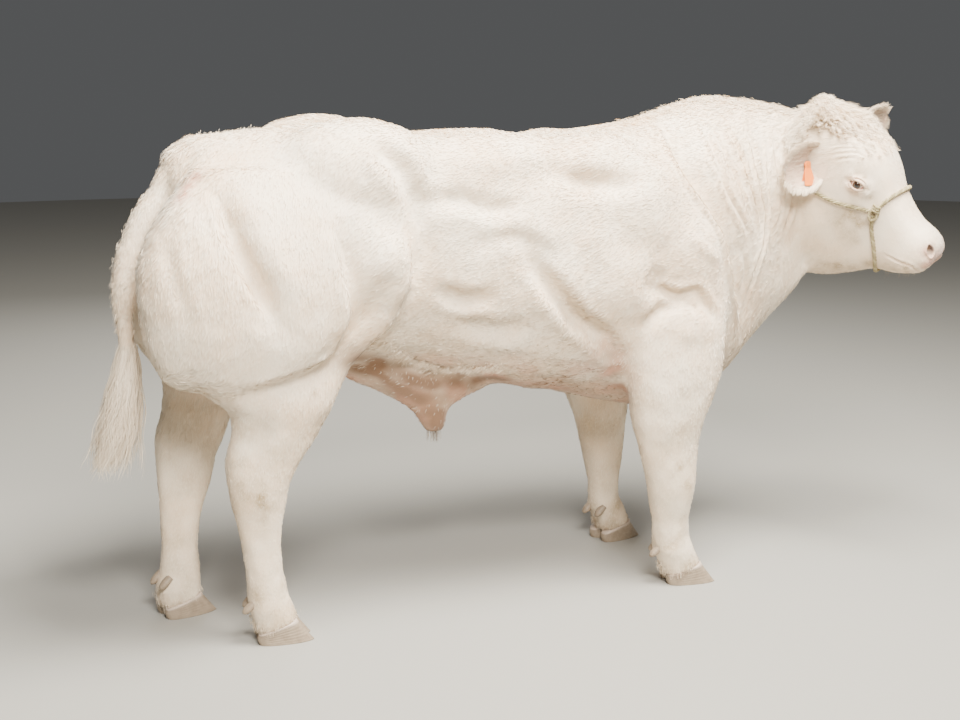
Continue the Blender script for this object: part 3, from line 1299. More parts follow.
def claw_mesh(foot, which, name):
    """One claw: a half oval sole, a sloping toe up to the coronet and a short round heel."""
    flat = oval(1.0, 1.0, 1.0, 2.7, 2.7, CLAW_AROUND)
    across, along = flat[:, 0], flat[:, 1]
    rise = CORONET_SLOPE * along * CLAW_LENGTH / 2
    tops = (CORONET_HEIGHT + rise) / (1.0 + CORONET_SLOPE * TOE_SLOPE * np.maximum(along, 0.0))
    rings = []
    for level in range(CLAW_LEVELS):
        share = level / (CLAW_LEVELS - 1)
        height = tops * share
        toe = CLAW_LENGTH / 2 - height * TOE_SLOPE
        heel = CLAW_LENGTH / 2 + 0.005 * math.sin(math.pi * share)
        reach = np.where(along >= 0, toe, heel)
        ridge = 0.0005 * math.sin(share * 44.0) * min(1.0, 4 * share) + 0.0012 * eased(share, 0.86, 0.96)
        narrow = 1.0 - 0.25 * np.maximum(along, 0.0) ** 2
        side = CLAW_HALF_WIDTH * (1.0 - 0.05 * share) * narrow + ridge
        flare = 0.0008 * (1.0 - min(1.0, share * 8))
        ring = np.column_stack([along * (reach + ridge + flare), which * CLAW_APART + across * side, height])
        rings.append(placed(foot_frame(foot), ring))
    mesh = loft_mesh(name, rings)
    levels = np.append(np.repeat(np.linspace(0, 1, CLAW_LEVELS), CLAW_AROUND), [0.0, 1.0])
    write_marks(mesh, {"band": eased(levels, 0.8, 0.95)})
    return mesh


def dewclaw_mesh(foot, which, name):
    place = foot_frame(foot)
    back = place.to_3x3() @ Vector((-1.0, 0.0, 0.0))
    start = place @ Vector((-0.4, which * DEWCLAW_APART, DEWCLAW_HEIGHT))
    root = skin_tree.ray_cast(start, -back)[0]
    down = (back * 0.75 + Vector((0.0, 0.0, -0.66))).normalized()
    side = down.cross(Vector((0.0, 0.0, 1.0))).normalized()
    over = side.cross(down)
    rings = []
    for level in range(DEWCLAW_RINGS):
        share = level / (DEWCLAW_RINGS - 1)
        reach = -0.5 + 1.5 * share
        wide = DEWCLAW_RADIUS * math.sqrt(max(0.02, 1.0 - max(0.0, (reach - 0.1) / 0.9) ** 2.4))
        wide += 0.0004 * math.sin(share * 30.0)
        angles = np.linspace(0, math.tau, DEWCLAW_AROUND, endpoint=False)
        ring = np.array(root + down * DEWCLAW_LENGTH * reach) + np.outer(np.cos(angles) * wide, side)
        rings.append(ring + np.outer(np.sin(angles) * wide * 0.8, over))
    mesh = loft_mesh(name, rings)
    write_marks(mesh, {"band": np.zeros(len(mesh.vertices))})
    return mesh


for foot in FEET:
    for which, letter in ((-1, "a"), (1, "b")):
        for kind, maker in (("claw", claw_mesh), ("dewclaw", dewclaw_mesh)):
            name = f"{foot}_{kind}_{letter}"
            piece = shown(name, maker(foot, which, name), horn)
            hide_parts(name)
print("hooves:", len(FEET), "with two claws and two dewclaws each")

# %% [markdown]
# ## The rope halter
#
# The halter is laid rope: three strands twisted round each other. Each strand is a thin tube that
# winds round the rope's middle line, so that the twist is really there and catches the light.

# %% Rope
ROPE_RADIUS, STRAND_RADIUS, STRAND_OUT, TWIST_LENGTH = 0.0064, 0.0033, 0.0034, 0.034
# In the head's frame, right side: the other side is the same, mirrored
CROWN_ROPE = (
    (0.318, -0.1, -0.056), (0.255, -0.125, -0.093), (0.212, -0.135, -0.113), (0.161, -0.14, -0.128),
    (0.093, -0.16, -0.146), (0.04, -0.172, -0.12), (-0.008, -0.152, -0.055), (-0.046, -0.112, 0.002),
    (-0.08, -0.05, 0.036), (-0.09, 0.0, 0.045),
)
NOSE_ROPE = ((0.318, -0.1, -0.058), (0.322, -0.085, 0.002), (0.329, -0.045, 0.03), (0.331, 0.0, 0.04))
CHIN_ROPE = ((0.325, -0.1, -0.066), (0.345, -0.1, -0.1), (0.392, -0.09, -0.145),
             (0.43, -0.065, -0.19), (0.445, 0.0, -0.23))
KNOT_PLACE = (0.322, -0.1, -0.062)
# How far the ropes stand out of the skin, as shares of their radius, and the spacing of their points
# before and after they are laid on it
ROPE_OUT, KNOT_OUT, WRAP_OUT = 0.9, 1.8, 1.3
COARSE_SPACING, FINE_SPACING = 0.008, 0.0032
# The knot's eye and the turns wrapped across it: half length and half width, radius and half length
EYE_OF_ROPE, WRAP_RADIUS, WRAP_HALF = (0.021, 0.0125), 0.0105, 0.011
# Strands of both: distance from the middle line, radius, length of a twist
EYE_STRANDS, WRAP_STRANDS = (0.0022, 0.0028, 0.024), (0.0016, 0.0022, 0.018)
JUTE, JUTE_DARK, JUTE_PALE = (0.42, 0.35, 0.19), (0.15, 0.12, 0.055), (0.56, 0.48, 0.29)

rope_look, tree_nodes, shader = new_material("rope")
fibre = noise_node(tree_nodes, 0.0022, 6.0, 0.7)
base = mix_node(tree_nodes, fibre, JUTE_DARK, JUTE)
base = mix_node(tree_nodes, mark_node(tree_nodes, "pale"), base, JUTE_PALE)
tree_nodes.links.new(base, shader.inputs["Base Color"])
set_inputs(shader, {"Roughness": 0.85})
tree_nodes.links.new(bump_node(tree_nodes, fibre, 0.6, 0.0008), shader.inputs["Normal"])


def eased_line(line):
    return np.vstack([line[:1], (line[:-2] + 2 * line[1:-1] + line[2:]) / 4, line[-1:]])


def lying_on(tree, line, out, rounds=4):
    """The line moved out of the skin by a set distance and eased, a few times over."""
    for _ in range(rounds):
        line = eased_line(eased_line(line))
        moved = []
        for spot in line:
            found, normal, _, _ = tree.find_nearest(Vector(spot))
            moved.append(found + normal * out)
        line = np.array(moved)
    return line


def tube_rings(line, normals, offsets, radius, around):
    tangents = unit(np.gradient(line, axis=0))
    sides = unit(np.cross(tangents, normals))
    overs = np.cross(sides, tangents)
    angles = np.linspace(0, math.tau, around, endpoint=False)
    centre = line + sides * offsets[0][:, None] + overs * offsets[1][:, None]
    return np.stack([centre + (sides * np.cos(a) + overs * np.sin(a)) * radius for a in angles], 1)


def joined_mesh(name, meshes):
    bm = bmesh.new()
    for mesh in meshes:
        bm.from_mesh(mesh)
    whole = poured(bm, name)
    shade_smooth(whole)
    return whole


def laid_rope(name, line, normals, out=STRAND_OUT, radius=STRAND_RADIUS, twist=TWIST_LENGTH):
    """Three strands wound round a line."""
    run = np.concatenate([[0.0], np.cumsum(np.linalg.norm(np.diff(line, axis=0), axis=1))])
    strands = []
    for k in range(3):
        angle = run / twist * math.tau + k * math.tau / 3
        rings = tube_rings(line, normals, (np.cos(angle) * out, np.sin(angle) * out), radius, 9)
        strand = loft_mesh("strand", rings)
        write_marks(strand, {"pale": np.full(len(strand.vertices), (0.0, 0.12, 0.6)[k])})
        strands.append(strand)
    return joined_mesh(name, strands)


def evenly(line, spacing):
    run = np.concatenate([[0.0], np.cumsum(np.linalg.norm(np.diff(line, axis=0), axis=1))])
    at = np.linspace(0.0, run[-1], max(8, int(run[-1] / spacing)))
    return np.stack([np.interp(at, run, line[:, k]) for k in range(3)], 1)


def whole_round(half):
    """The path of the right side and its mirror on the left, as one line."""
    right = smooth_path(half, 90)
    left = right[-2::-1] * np.array([1.0, -1.0, 1.0])
    return from_head(np.vstack([right, left]))


def skin_normals(tree, line):
    return np.array([tree.find_nearest(Vector(spot))[1] for spot in line])


for name, half in (("halter_crown", CROWN_ROPE), ("halter_noseband", NOSE_ROPE), ("halter_chin", CHIN_ROPE)):
    line = lying_on(skin_tree, evenly(whole_round(half), COARSE_SPACING), ROPE_RADIUS * ROPE_OUT)
    line = evenly(line, FINE_SPACING)
    piece = shown(name, laid_rope(name, line, skin_normals(skin_tree, line)), rope_look)
    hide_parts(name)
    print(name, len(piece.data.polygons), "faces")


# %% [markdown]
# At each side of the nose the ropes meet in a knot. A true knot is one rope passed through itself,
# which is slow to lay. An oval eye of rope, with turns wrapped across it, looks much the same.

# %% Knots
def halter_knot(side, name):
    """Where the ropes meet: an oval eye of rope, and a few turns wrapped across it."""
    spot = HEAD @ Vector((KNOT_PLACE[0], -side * KNOT_PLACE[1], KNOT_PLACE[2]))
    found, out, _, _ = skin_tree.find_nearest(spot)
    down = HEAD.to_3x3() @ Vector((0.35, 0.0, -1.0))
    down = (down - out * down.dot(out)).normalized()
    fore = down.cross(out)
    pieces = []
    angles = np.linspace(0, math.tau, 46)
    middle = np.array(found + out * ROPE_RADIUS * KNOT_OUT)
    eye = middle + np.outer(np.cos(angles) * EYE_OF_ROPE[0], down)
    eye = eye + np.outer(np.sin(angles) * EYE_OF_ROPE[1], fore)
    pieces.append(laid_rope("eye", eye, np.tile(np.array(out), (len(eye), 1)), *EYE_STRANDS))
    angles = np.linspace(0, math.tau * 3, 90)
    drift = np.linspace(-WRAP_HALF, WRAP_HALF, 90)
    middle = np.array(found + out * ROPE_RADIUS * WRAP_OUT - down * 0.016)
    wrap = middle + np.outer(np.cos(angles) * WRAP_RADIUS, fore)
    wrap = wrap + np.outer(np.sin(angles) * WRAP_RADIUS, out) + np.outer(drift, down)
    pieces.append(laid_rope("wrap", wrap, np.tile(np.array(down), (len(wrap), 1)), *WRAP_STRANDS))
    return joined_mesh(name, pieces)


for side, name in ((-1, "halter_knot_right"), (1, "halter_knot_left")):
    piece = shown(name, halter_knot(side, name), rope_look)
    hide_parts(name)
    print(name, len(piece.data.polygons), "faces")

# %% [markdown]
# ## Ear tag
#
# The tag is soft orange plastic: a leaf before the ear and one behind it, pinned by a stud. A box
# would do for a leaf, but a real one narrows to a neck and bows a little. So half its outline is a
# curve, which is mirrored and lofted with rounded edges.

# %% Tag
TAG_ALONG, TAG_ACROSS, TAG_SPLAY = 0.066, -0.04, 16.0
TAG_WIDTH, TAG_HEIGHT, TAG_NECK, TAG_THICKNESS = 0.05, 0.066, 0.024, 0.0022
TAG_STUD_RADIUS, TAG_STUD_LENGTH = 0.0065, 0.012
TAG_ORANGE = (0.8, 0.2, 0.025)
# The leaf's rounded edge: share of its outline and of its thickness
LEAF_EDGE = ((0.94, -0.5), (0.985, -0.46), (1.0, -0.25), (1.0, 0.25), (0.985, 0.46), (0.94, 0.5))
# The stud: share of its length and of its radius
STUD_RINGS = ((-0.3, 0.5), (0.8, 0.5), (0.9, 1.0), (1.12, 1.05), (1.25, 0.95), (1.34, 0.6), (1.36, 0.1))

tag_look, tree_nodes, shader = new_material("tag")
set_inputs(shader, {"Base Color": (*TAG_ORANGE, 1.0), "Roughness": 0.42, "Subsurface Weight": 0.0})


def tag_outline():
    """Half the leaf's edge from its neck down to the middle of its foot, then mirrored."""
    w, h, n = TAG_WIDTH / 2, TAG_HEIGHT, TAG_NECK / 2
    half = ((0.0, 0.01), (n * 0.7, 0.0085), (n, 0.002), (n * 1.12, -0.01), (w * 0.72, -0.026),
            (w * 0.9, -h * 0.7), (w, -h * 0.9), (w * 0.96, -h * 0.98), (w * 0.8, -h),
            (w * 0.4, -h * 1.005), (0.0, -h * 1.005))
    right = smooth_path(half, 40)
    return np.vstack([right, right[-2:0:-1] * np.array([-1.0, 1.0])])


ear_place = ear_frame("right")
facing = ear_place.to_3x3() @ Vector((0.0, 0.0, 1.0))
tag_spot = ear_place @ Vector(ear_spot(TAG_ALONG / EAR_LENGTH, np.array([TAG_ACROSS]))[0])
stud_top = tag_spot + facing * TAG_STUD_LENGTH
tag_across = ear_place.to_3x3() @ Vector((1.0, 0.0, 0.0))
tag_across = Vector((tag_across.x, tag_across.y, 0.0)).normalized()
tag_out = Vector((0.0, 0.0, 1.0)).cross(tag_across)
if tag_out.dot(facing) < 0:
    tag_out = -tag_out
outline = tag_outline()
leaves = []
for tilt, behind in ((0.0, 0.0), (TAG_SPLAY, TAG_THICKNESS * 1.5)):
    swing = Matrix.Rotation(math.radians(tilt), 3, "X")
    rings = []
    for inset, depth in LEAF_EDGE:
        ring = []
        for a, b in outline:
            bow = 0.003 * math.cos(a / TAG_WIDTH * math.pi)
            spot = swing @ Vector((a * inset, depth * TAG_THICKNESS + bow - behind,
                                   (b + 0.03) * inset - 0.03))
            ring.append(stud_top + tag_out * TAG_THICKNESS + tag_across * spot.x + tag_out * spot.y
                        + Vector((0.0, 0.0, spot.z)))
        rings.append(ring)
    leaves.append(loft_mesh("leaf", rings))
tag = shown("ear_tag", joined_mesh("ear_tag", leaves), tag_look)
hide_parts("ear_tag")

stud_side = facing.orthogonal().normalized()
stud_over = facing.cross(stud_side)
rings = []
for reach, wide in STUD_RINGS:
    angles = np.linspace(0, math.tau, 28, endpoint=False)
    middle = np.array(tag_spot + facing * TAG_STUD_LENGTH * reach + tag_out * TAG_THICKNESS)
    rings.append(middle + TAG_STUD_RADIUS * wide * (np.outer(np.cos(angles), stud_side)
                                                    + np.outer(np.sin(angles), stud_over)))
stud = shown("ear_tag_stud", loft_mesh("ear_tag_stud", rings), tag_look)
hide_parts("ear_tag_stud")
print("tag hangs down to", round(min(v.co.z for v in tag.data.vertices), 3), "m")

# %% [markdown]
# ## How hair is made here
#
# Every hair or tuft is a thin flat ribbon that ends in a point. A curve leaves the skin along a
# heading and bends towards a fall, step by step, and the ribbon is laid along it. All the ribbons
# of one piece of coat are worked out together as arrays. Each carries the markings of its root, and
# a small patch of texture at its root's place on the unrolled skin.

# %% Where hair starts
MARK_NAMES = ("bare", "stain", "cream", "dark", "umber")
PATCH = 0.003
skin_triangles = triangles_of(skin_mesh)
skin_points, skin_normals_all = points_of(skin_mesh), normals_of(skin_mesh)
skin_marks = np.stack([MARKS[name] for name in MARK_NAMES], 1)
corner_points = skin_points[skin_triangles]
triangle_areas = np.linalg.norm(np.cross(corner_points[:, 1] - corner_points[:, 0],
                                         corner_points[:, 2] - corner_points[:, 0]), axis=1) / 2
triangle_middles = corner_points.mean(1)
print("skin area:", round(float(triangle_areas.sum()), 2), "square metres")


class Roots:
    """Places on a surface where hair starts: points, normals and markings."""

    def __init__(self, points, normals, marks):
        self.points, self.normals, self.marks = points, unit(normals), marks

    def __len__(self):
        return len(self.points)


def sown(density, count, seed):
    """Roots spread at random over the skin; density is a weight for each of its triangles."""
    chooser = np.random.default_rng(seed)
    weights = triangle_areas * np.maximum(density, 0.0)
    chosen = chooser.choice(len(weights), count, p=weights / weights.sum())
    a, b = np.sqrt(chooser.uniform(size=count)), chooser.uniform(size=count)
    shares = np.stack([1 - a, a * (1 - b), a * b], 1)[:, :, None]
    corners = skin_triangles[chosen]
    return Roots((skin_points[corners] * shares).sum(1), (skin_normals_all[corners] * shares).sum(1),
                 (skin_marks[corners] * shares).sum(1))


def flattened(directions, normals):
    """The part of each direction that lies in the skin, at length 1."""
    return unit(directions - normals * (directions * normals).sum(1, keepdims=True))


# %% The path of a hair and its place in the texture
SLICES = 16


def curves(points, headings, falls, lengths, pull, steps):
    """Curves that leave points along headings and bend towards falls: count, steps + 1, 3."""
    heading = unit(headings)
    spots = [points]
    for _ in range(steps):
        spots.append(spots[-1] + heading * (lengths / steps)[:, None])
        heading = unit(heading + falls * pull[:, None])
    return np.stack(spots, 1)


def unrolled(points, axis, over):
    """Where points lie on a skin unrolled from round an axis: along it and round it, both 0.02 to 0.98."""
    along, over = unit(np.array(axis, float)), unit(np.array(over, float))
    side = np.cross(over, along)
    a, b, c = points @ along, points @ side, points @ over
    share = (a - a.min()) / max(np.ptp(a), 1e-6)
    slices = np.minimum((share * SLICES).astype(int), SLICES - 1)
    low_b, high_b = np.full(SLICES, 9.0), np.full(SLICES, -9.0)
    low_c, high_c = np.full(SLICES, 9.0), np.full(SLICES, -9.0)
    for low, high, values in ((low_b, high_b, b), (low_c, high_c, c)):
        np.minimum.at(low, slices, values)
        np.maximum.at(high, slices, values)
    middles = np.arange(SLICES)
    known = high_b > low_b
    at = share * SLICES - 0.5
    middle_b = np.interp(at, middles[known], ((low_b + high_b) / 2)[known])
    middle_c = np.interp(at, middles[known], ((low_c + high_c) / 2)[known])
    round_it = np.arctan2(b - middle_b, c - middle_c)
    apart = np.hypot(b - middle_b, c - middle_c)
    u = a + (0.5 - share) * apart
    place = np.stack([u, round_it], 1)
    return 0.02 + 0.96 * (place - place.min(0)) / np.maximum(np.ptp(place, axis=0), 1e-6)


# %% Ribbons
def ribbons(name, paths, widths, roots, places, look, seed, stations, roll, round_look):
    """Flat tapered ribbons along paths; roots give their normals and marks, places their texture patch.

    Stations are shares of the width along the way, roll is how much the ribbons turn at random, and
    the round look is how much their shading follows the skin instead of their own flat side.
    """
    chooser = np.random.default_rng(seed)
    count, stops = paths.shape[:2]
    tangents = unit(np.gradient(paths, axis=1))
    facing = unit(roots.normals + chooser.normal(size=(count, 3)) * roll)
    sides = unit(np.cross(tangents, facing[:, None, :]))
    leaf = np.cross(sides, tangents)
    turned = np.where((leaf * roots.normals[:, None, :]).sum((1, 2)) < 0.0, -1.0, 1.0)[:, None, None]
    sides, leaf = sides * turned, leaf * turned
    half = widths[:, None, None] * np.asarray(stations)[None, :, None] / 2
    left = paths[:, :-1] - sides[:, :-1] * half
    right = paths[:, :-1] + sides[:, :-1] * half
    body = np.stack([left, right], 2).reshape(count, -1, 3)
    points = np.concatenate([body, paths[:, -1:]], 1)
    each = points.shape[1]
    first = np.arange(count)[:, None] * each
    quads = []
    for k in range(stops - 2):
        quads.append(np.concatenate([first + 2 * k + corner for corner in (0, 1, 3, 2)], 1))
    quads = np.stack(quads, 1).reshape(-1, 4)
    triangles = np.concatenate([first + each - 3, first + each - 2, first + each - 1], 1)
    mesh = mesh_from(name, points.reshape(-1, 3), quads, triangles)
    across = np.append(np.tile([0.0, 1.0], stops - 1), 0.5)
    along = np.append(np.repeat(np.linspace(0, 1, stops)[:-1], 2), 1.0)
    patch = np.stack([across, along], 1) * PATCH
    spread = (places[:, None, :] + patch[None, :, :]).reshape(-1, 2)
    corners = read(mesh.loops, "vertex_index", 1, np.int32)[:, 0]
    layer = mesh.uv_layers.new(name="OFBake")
    layer.data.foreach_set("uv", spread[corners].astype(np.float32).ravel())
    agree = round_look * np.clip((leaf * roots.normals[:, None, :]).sum(2, keepdims=True) * 1.6, 0.0, 1.0)
    bent = unit(roots.normals[:, None, :] * agree + leaf * (1.0 - agree))
    vertex_normals = np.concatenate([np.repeat(bent[:, :-1], 2, axis=1), bent[:, -1:]], 1).reshape(-1, 3)
    mesh.normals_split_custom_set_from_vertices(vertex_normals)
    tints = chooser.uniform(0.0, 1.0, count)
    marks = {label: np.repeat(roots.marks[:, k], each) for k, label in enumerate(MARK_NAMES)}
    write_marks(mesh, {**marks, "tint": np.repeat(tints, each)})
    piece = shown(name, mesh, look)
    print(name, count, "tufts,", count * (2 * stops - 3), "triangles")


# %% [markdown]
# ## Which way the coat lies
#
# Hair on cattle points away from the nose on the neck and trunk, then down over the ribs, thighs
# and legs. On the face it starts from a whorl on the forehead and runs down to the muzzle and back
# over the cheeks. The direction changes slowly, and a little disorder keeps it from looking combed.

# %% Flow of the coat
WHORL = np.array([0.19, 0.0, 0.1])
FORWARDS, UPWARDS = (1, 0, 0), (0, 0, 1)
COAT_LIFT, COAT_DISORDER = 0.24, 0.16


def coat_flow(roots, disorder, seed):
    chooser = np.random.default_rng(seed)
    x = roots.points[:, 0] - PLACE.x
    z = roots.points[:, 2]
    back = np.stack([-np.ones(len(x)), np.zeros(len(x)), np.full(len(x), -0.38)], 1)
    down = np.stack([np.full(len(x), -0.22), np.zeros(len(x)), -np.ones(len(x))], 1)
    low = eased(z, 0.95, 0.66)
    rear = eased(x, -0.45, -0.85)
    share = np.maximum(low, rear)[:, None]
    flow = back * (1 - share) + down * share
    under = eased(roots.normals[:, 2], -0.3, -0.7)[:, None]
    flow = flow * (1 - under) + np.array([-1.0, 0.0, -0.1]) * under
    local = to_head(roots.points)
    face = (eased(local[:, 0], -0.03, 0.06) * (roots.points[:, 0] > 0.85))[:, None]
    away = local - WHORL
    cheek = eased(local[:, 2], -0.05, -0.16)[:, None]
    away = unit(away) * (1 - cheek) + np.array([-0.35, 0.0, -1.0]) * cheek
    flow = flow * (1 - face) + (away @ HEAD_AXES.T) * face
    flow = unit(flow) + chooser.normal(size=flow.shape) * disorder
    swirl = 0.16 * wobble(roots.points, 0.22, 10)
    flow[:, 2] += swirl
    flow[:, 0] += 0.5 * swirl
    return flattened(flow, roots.normals)


def coat_piece(name, density, count, seed, length_of, width, axis, over):
    """One piece of short coat; the length is a rule for the roots."""
    chooser = np.random.default_rng(seed)
    roots = sown(density, count, seed)
    flow = coat_flow(roots, COAT_DISORDER, seed + 1)
    lengths = length_of(roots) * chooser.uniform(0.65, 1.25, count)
    widths = width * chooser.uniform(0.7, 1.3, count)
    lifts = COAT_LIFT * chooser.uniform(0.5, 1.6, count)[:, None]
    headings = flow + roots.normals * lifts
    falls = flow * 0.5 - roots.normals * 0.3
    paths = curves(roots.points - roots.normals * 0.0006, headings, falls, lengths, np.full(count, 0.55), 2)
    ribbons(name, paths, widths, roots, unrolled(roots.points, axis, over), coat, seed + 2,
            (1.0, 0.7), 0.35, 0.6)


# %% [markdown]
# ## The short coat
#
# The summer coat is barely two centimetres long and lies flat. It is sown thinner where the skin is
# bare, shorter on the face and feet, and a little longer on the crest, the tail head and the backs
# of the thighs. The body is divided into pieces that each stay small enough to handle.

# %% Parts of the skin
tri_x = triangle_middles[:, 0] - PLACE.x
tri_y = triangle_middles[:, 1] - PLACE.y
tri_z = triangle_middles[:, 2]
tri_head = to_head(triangle_middles)
tri_marks = skin_marks[skin_triangles].mean(1)
is_head = (tri_head[:, 0] > 0.0) & (tri_head[:, 2] > -0.46) & (triangle_middles[:, 0] > 0.85)
is_tail = (tri_x < -1.1) & (tri_z < 1.2) & (np.abs(tri_y + 0.015) < 0.09) & (tri_z >= 0.44)
is_under = (tri_z < 0.72) & (tri_x > -0.68) & (tri_x < 0.0) & (np.abs(tri_y) < 0.14)
is_fore = (tri_z < 0.6) & (tri_x > 0.12) & ~is_head
is_hind = (tri_z < 0.64) & (tri_x < -0.52) & ~is_tail & ~is_under
is_trunk = ~(is_head | is_tail | is_fore | is_hind)
inner = spot_mark(head_spots([(0.227, 0.138, -0.024)]), 0.022)[skin_triangles].mean(1)
nose = (MARKS["bare"] * (to_head(skin_points)[:, 0] > 0.46))[skin_triangles].mean(1)
haired = (1.0 - 0.75 * tri_marks[:, 0]) * (1.0 - eased(inner, 0.25, 0.55)) * (1.0 - eased(nose, 0.1, 0.4))
haired *= 1.0 - 0.9 * eased(tri_marks[:, 4], 0.15, 0.6)
print("triangles of the skin:", len(tri_x), "of the head:", int(is_head.sum()))


# %% Sow the coat
def trunk_length(roots):
    """Longer on the crest, the tail head, the backs of the thighs and the brisket."""
    x, z = roots.points[:, 0] - PLACE.x, roots.points[:, 2]
    crest = eased(roots.normals[:, 2], 0.55, 0.9) * eased(x, 0.4, 0.7)
    behind = eased(x, -0.92, -1.05) * eased(z, 0.6, 0.75)
    brisket = eased(z, 0.8, 0.7) * eased(x, 0.45, 0.6)
    return 0.017 + 0.016 * crest + 0.01 * behind + 0.012 * brisket


def face_length(roots):
    local = to_head(roots.points)
    return 0.0075 + 0.012 * eased(local[:, 0], 0.22, 0.02) + 0.006 * eased(local[:, 2], -0.2, -0.32)


def leg_length(roots):
    return 0.01 + 0.006 * eased(roots.points[:, 2], 0.3, 0.6)


def tail_length(roots):
    return np.full(len(roots), 0.02)


# Name, where, number of tufts, seed, length, width, and the axes to unroll it from
COATS = (
    ("coat_neck", is_trunk & (tri_x > 0.52), 46000, 101, trunk_length, 0.0026, FORWARDS, UPWARDS),
    ("coat_shoulders", is_trunk & (tri_x <= 0.52) & (tri_x > 0.1), 42000, 111, trunk_length, 0.0028,
     FORWARDS, UPWARDS),
    ("coat_barrel", is_trunk & (tri_x <= 0.1) & (tri_x > -0.5), 46000, 121, trunk_length, 0.003,
     FORWARDS, UPWARDS),
    ("coat_rump", is_trunk & (tri_x <= -0.5), 52000, 131, trunk_length, 0.003, FORWARDS, UPWARDS),
    ("coat_fore_legs", is_fore, 24000, 141, leg_length, 0.0022, UPWARDS, FORWARDS),
    ("coat_hind_legs", is_hind, 28000, 151, leg_length, 0.0022, UPWARDS, FORWARDS),
    ("coat_head", is_head, 38000, 161, face_length, 0.0017, HEAD_AXES[:, 0], HEAD_AXES[:, 2]),
    ("coat_tail", is_tail & (tri_z > 0.8), 9000, 171, tail_length, 0.0022, UPWARDS, FORWARDS),
)

for name, where, *row in COATS:
    coat_piece(name, haired * where, *row)

# %% [markdown]
# ## Locks
#
# Long hair doesn't hang singly. It gathers in locks, whose hairs start a little apart and meet at
# the tip. Each lock here is a guiding curve, and its strands follow it with an offset that shrinks
# along the way. A slow wave runs through the long ones.

# %% Locks
def locks(name, roots, headings, falls, lengths, pull, steps, strands, spread, width, look, seed,
          axis, over, gather=0.75, wave=0.0, waves=1.5, uneven=0.25, round_look=0.55):
    """Strands gathered in locks: each root gives one lock.

    They bend from their headings to their falls by the pull. Spread is how far apart they start, and
    gather is the share of it that is gone at the tip. A wave has a height and a number of turns.
    """
    chooser = np.random.default_rng(seed)
    count = len(roots)
    guides = curves(roots.points, headings, falls, lengths, pull, steps)
    share = np.linspace(0.0, 1.0, steps + 1)
    if wave:
        tangents = unit(np.gradient(guides, axis=1))
        side = unit(np.cross(tangents, roots.normals[:, None, :]))
        over_side = np.cross(side, tangents)
        phase = chooser.uniform(0, math.tau, (count, 1))
        turns = share[None, :] * math.tau * waves * chooser.uniform(0.7, 1.3, (count, 1)) + phase
        swing = wave * share[None, :] ** 0.7
        guides = guides + side * (np.sin(turns) * swing)[:, :, None]
        guides = guides + over_side * (np.cos(turns) * swing * 0.6)[:, :, None]
    many = np.repeat(np.arange(count), strands)
    offsets = chooser.normal(size=(len(many), 3)) * spread
    shrink = 1.0 - gather * share
    reach = chooser.uniform(1.0 - uneven, 1.0, len(many))
    base = guides[many]
    start = base[:, :1]
    bundle = start + (base - start) * reach[:, None, None] + offsets[:, None, :] * shrink[None, :, None]
    own = Roots(bundle[:, 0], roots.normals[many], roots.marks[many])
    widths = width * chooser.uniform(0.7, 1.3, len(many))
    ribbons(name, bundle, widths, own, unrolled(own.points, axis, over), look, seed + 1,
            np.linspace(1.0, 0.35, steps), 0.6, round_look)


# %% [markdown]
# On the poll the hair is longer and tousled. Particles could grow it, but locks sown on the skin are
# the same each run. They stand up, fan out from a point behind the poll and fall to all sides.

# %% The poll's tousled hair
POLL_LOCKS = 1400
on_poll = (tri_head[:, 0] > -0.06) & (tri_head[:, 0] < 0.23) & (np.abs(tri_head[:, 1]) < 0.125)
poll_area = on_poll & (tri_head[:, 2] > -0.03) & (triangle_middles[:, 0] > 0.85)
poll_weight = poll_area * eased(tri_head[:, 0], 0.23, 0.05) * eased(np.abs(tri_head[:, 1]), 0.125, 0.085)
roots = sown(poll_weight, POLL_LOCKS, 201)
chooser = np.random.default_rng(202)
local = to_head(roots.points)
near_top = eased(local[:, 0], 0.15, 0.05) * eased(local[:, 0], -0.05, 0.02)
away = np.stack([local[:, 0] + 0.045, local[:, 1] * 0.8, np.zeros(POLL_LOCKS)], 1)
strays = [0.5 * wobble(roots.points, 0.05, 8) for _ in range(2)]
away = unit(unit(away) + np.stack([*strays, np.zeros(POLL_LOCKS)], 1))
lie = away @ HEAD_AXES.T
stand = (0.4 + 0.7 * near_top)[:, None]
heading = roots.normals * stand + lie * 0.75 + chooser.normal(size=(POLL_LOCKS, 3)) * 0.12
fall = lie * 0.8 + np.array([0.0, 0.0, -0.2]) - roots.normals * 0.15
fall = fall + chooser.normal(size=(POLL_LOCKS, 3)) * 0.14
poll_lengths = (0.018 + 0.032 * near_top) * chooser.uniform(0.7, 1.25, POLL_LOCKS)
pulls = chooser.uniform(0.08, 0.32, POLL_LOCKS)
locks("coat_poll", roots, heading, fall, poll_lengths, pulls, 5, 12, 0.005, 0.0015, coat, 203,
      HEAD_AXES[:, 0], HEAD_AXES[:, 2], gather=0.6, wave=0.004, waves=1.1, round_look=0.35)

# %% [markdown]
# The tail ends in a switch of long wavy hair. One solid brush would look like felt, so the locks start
# in rings round the tail's firm end, hang down and draw together towards a tip.

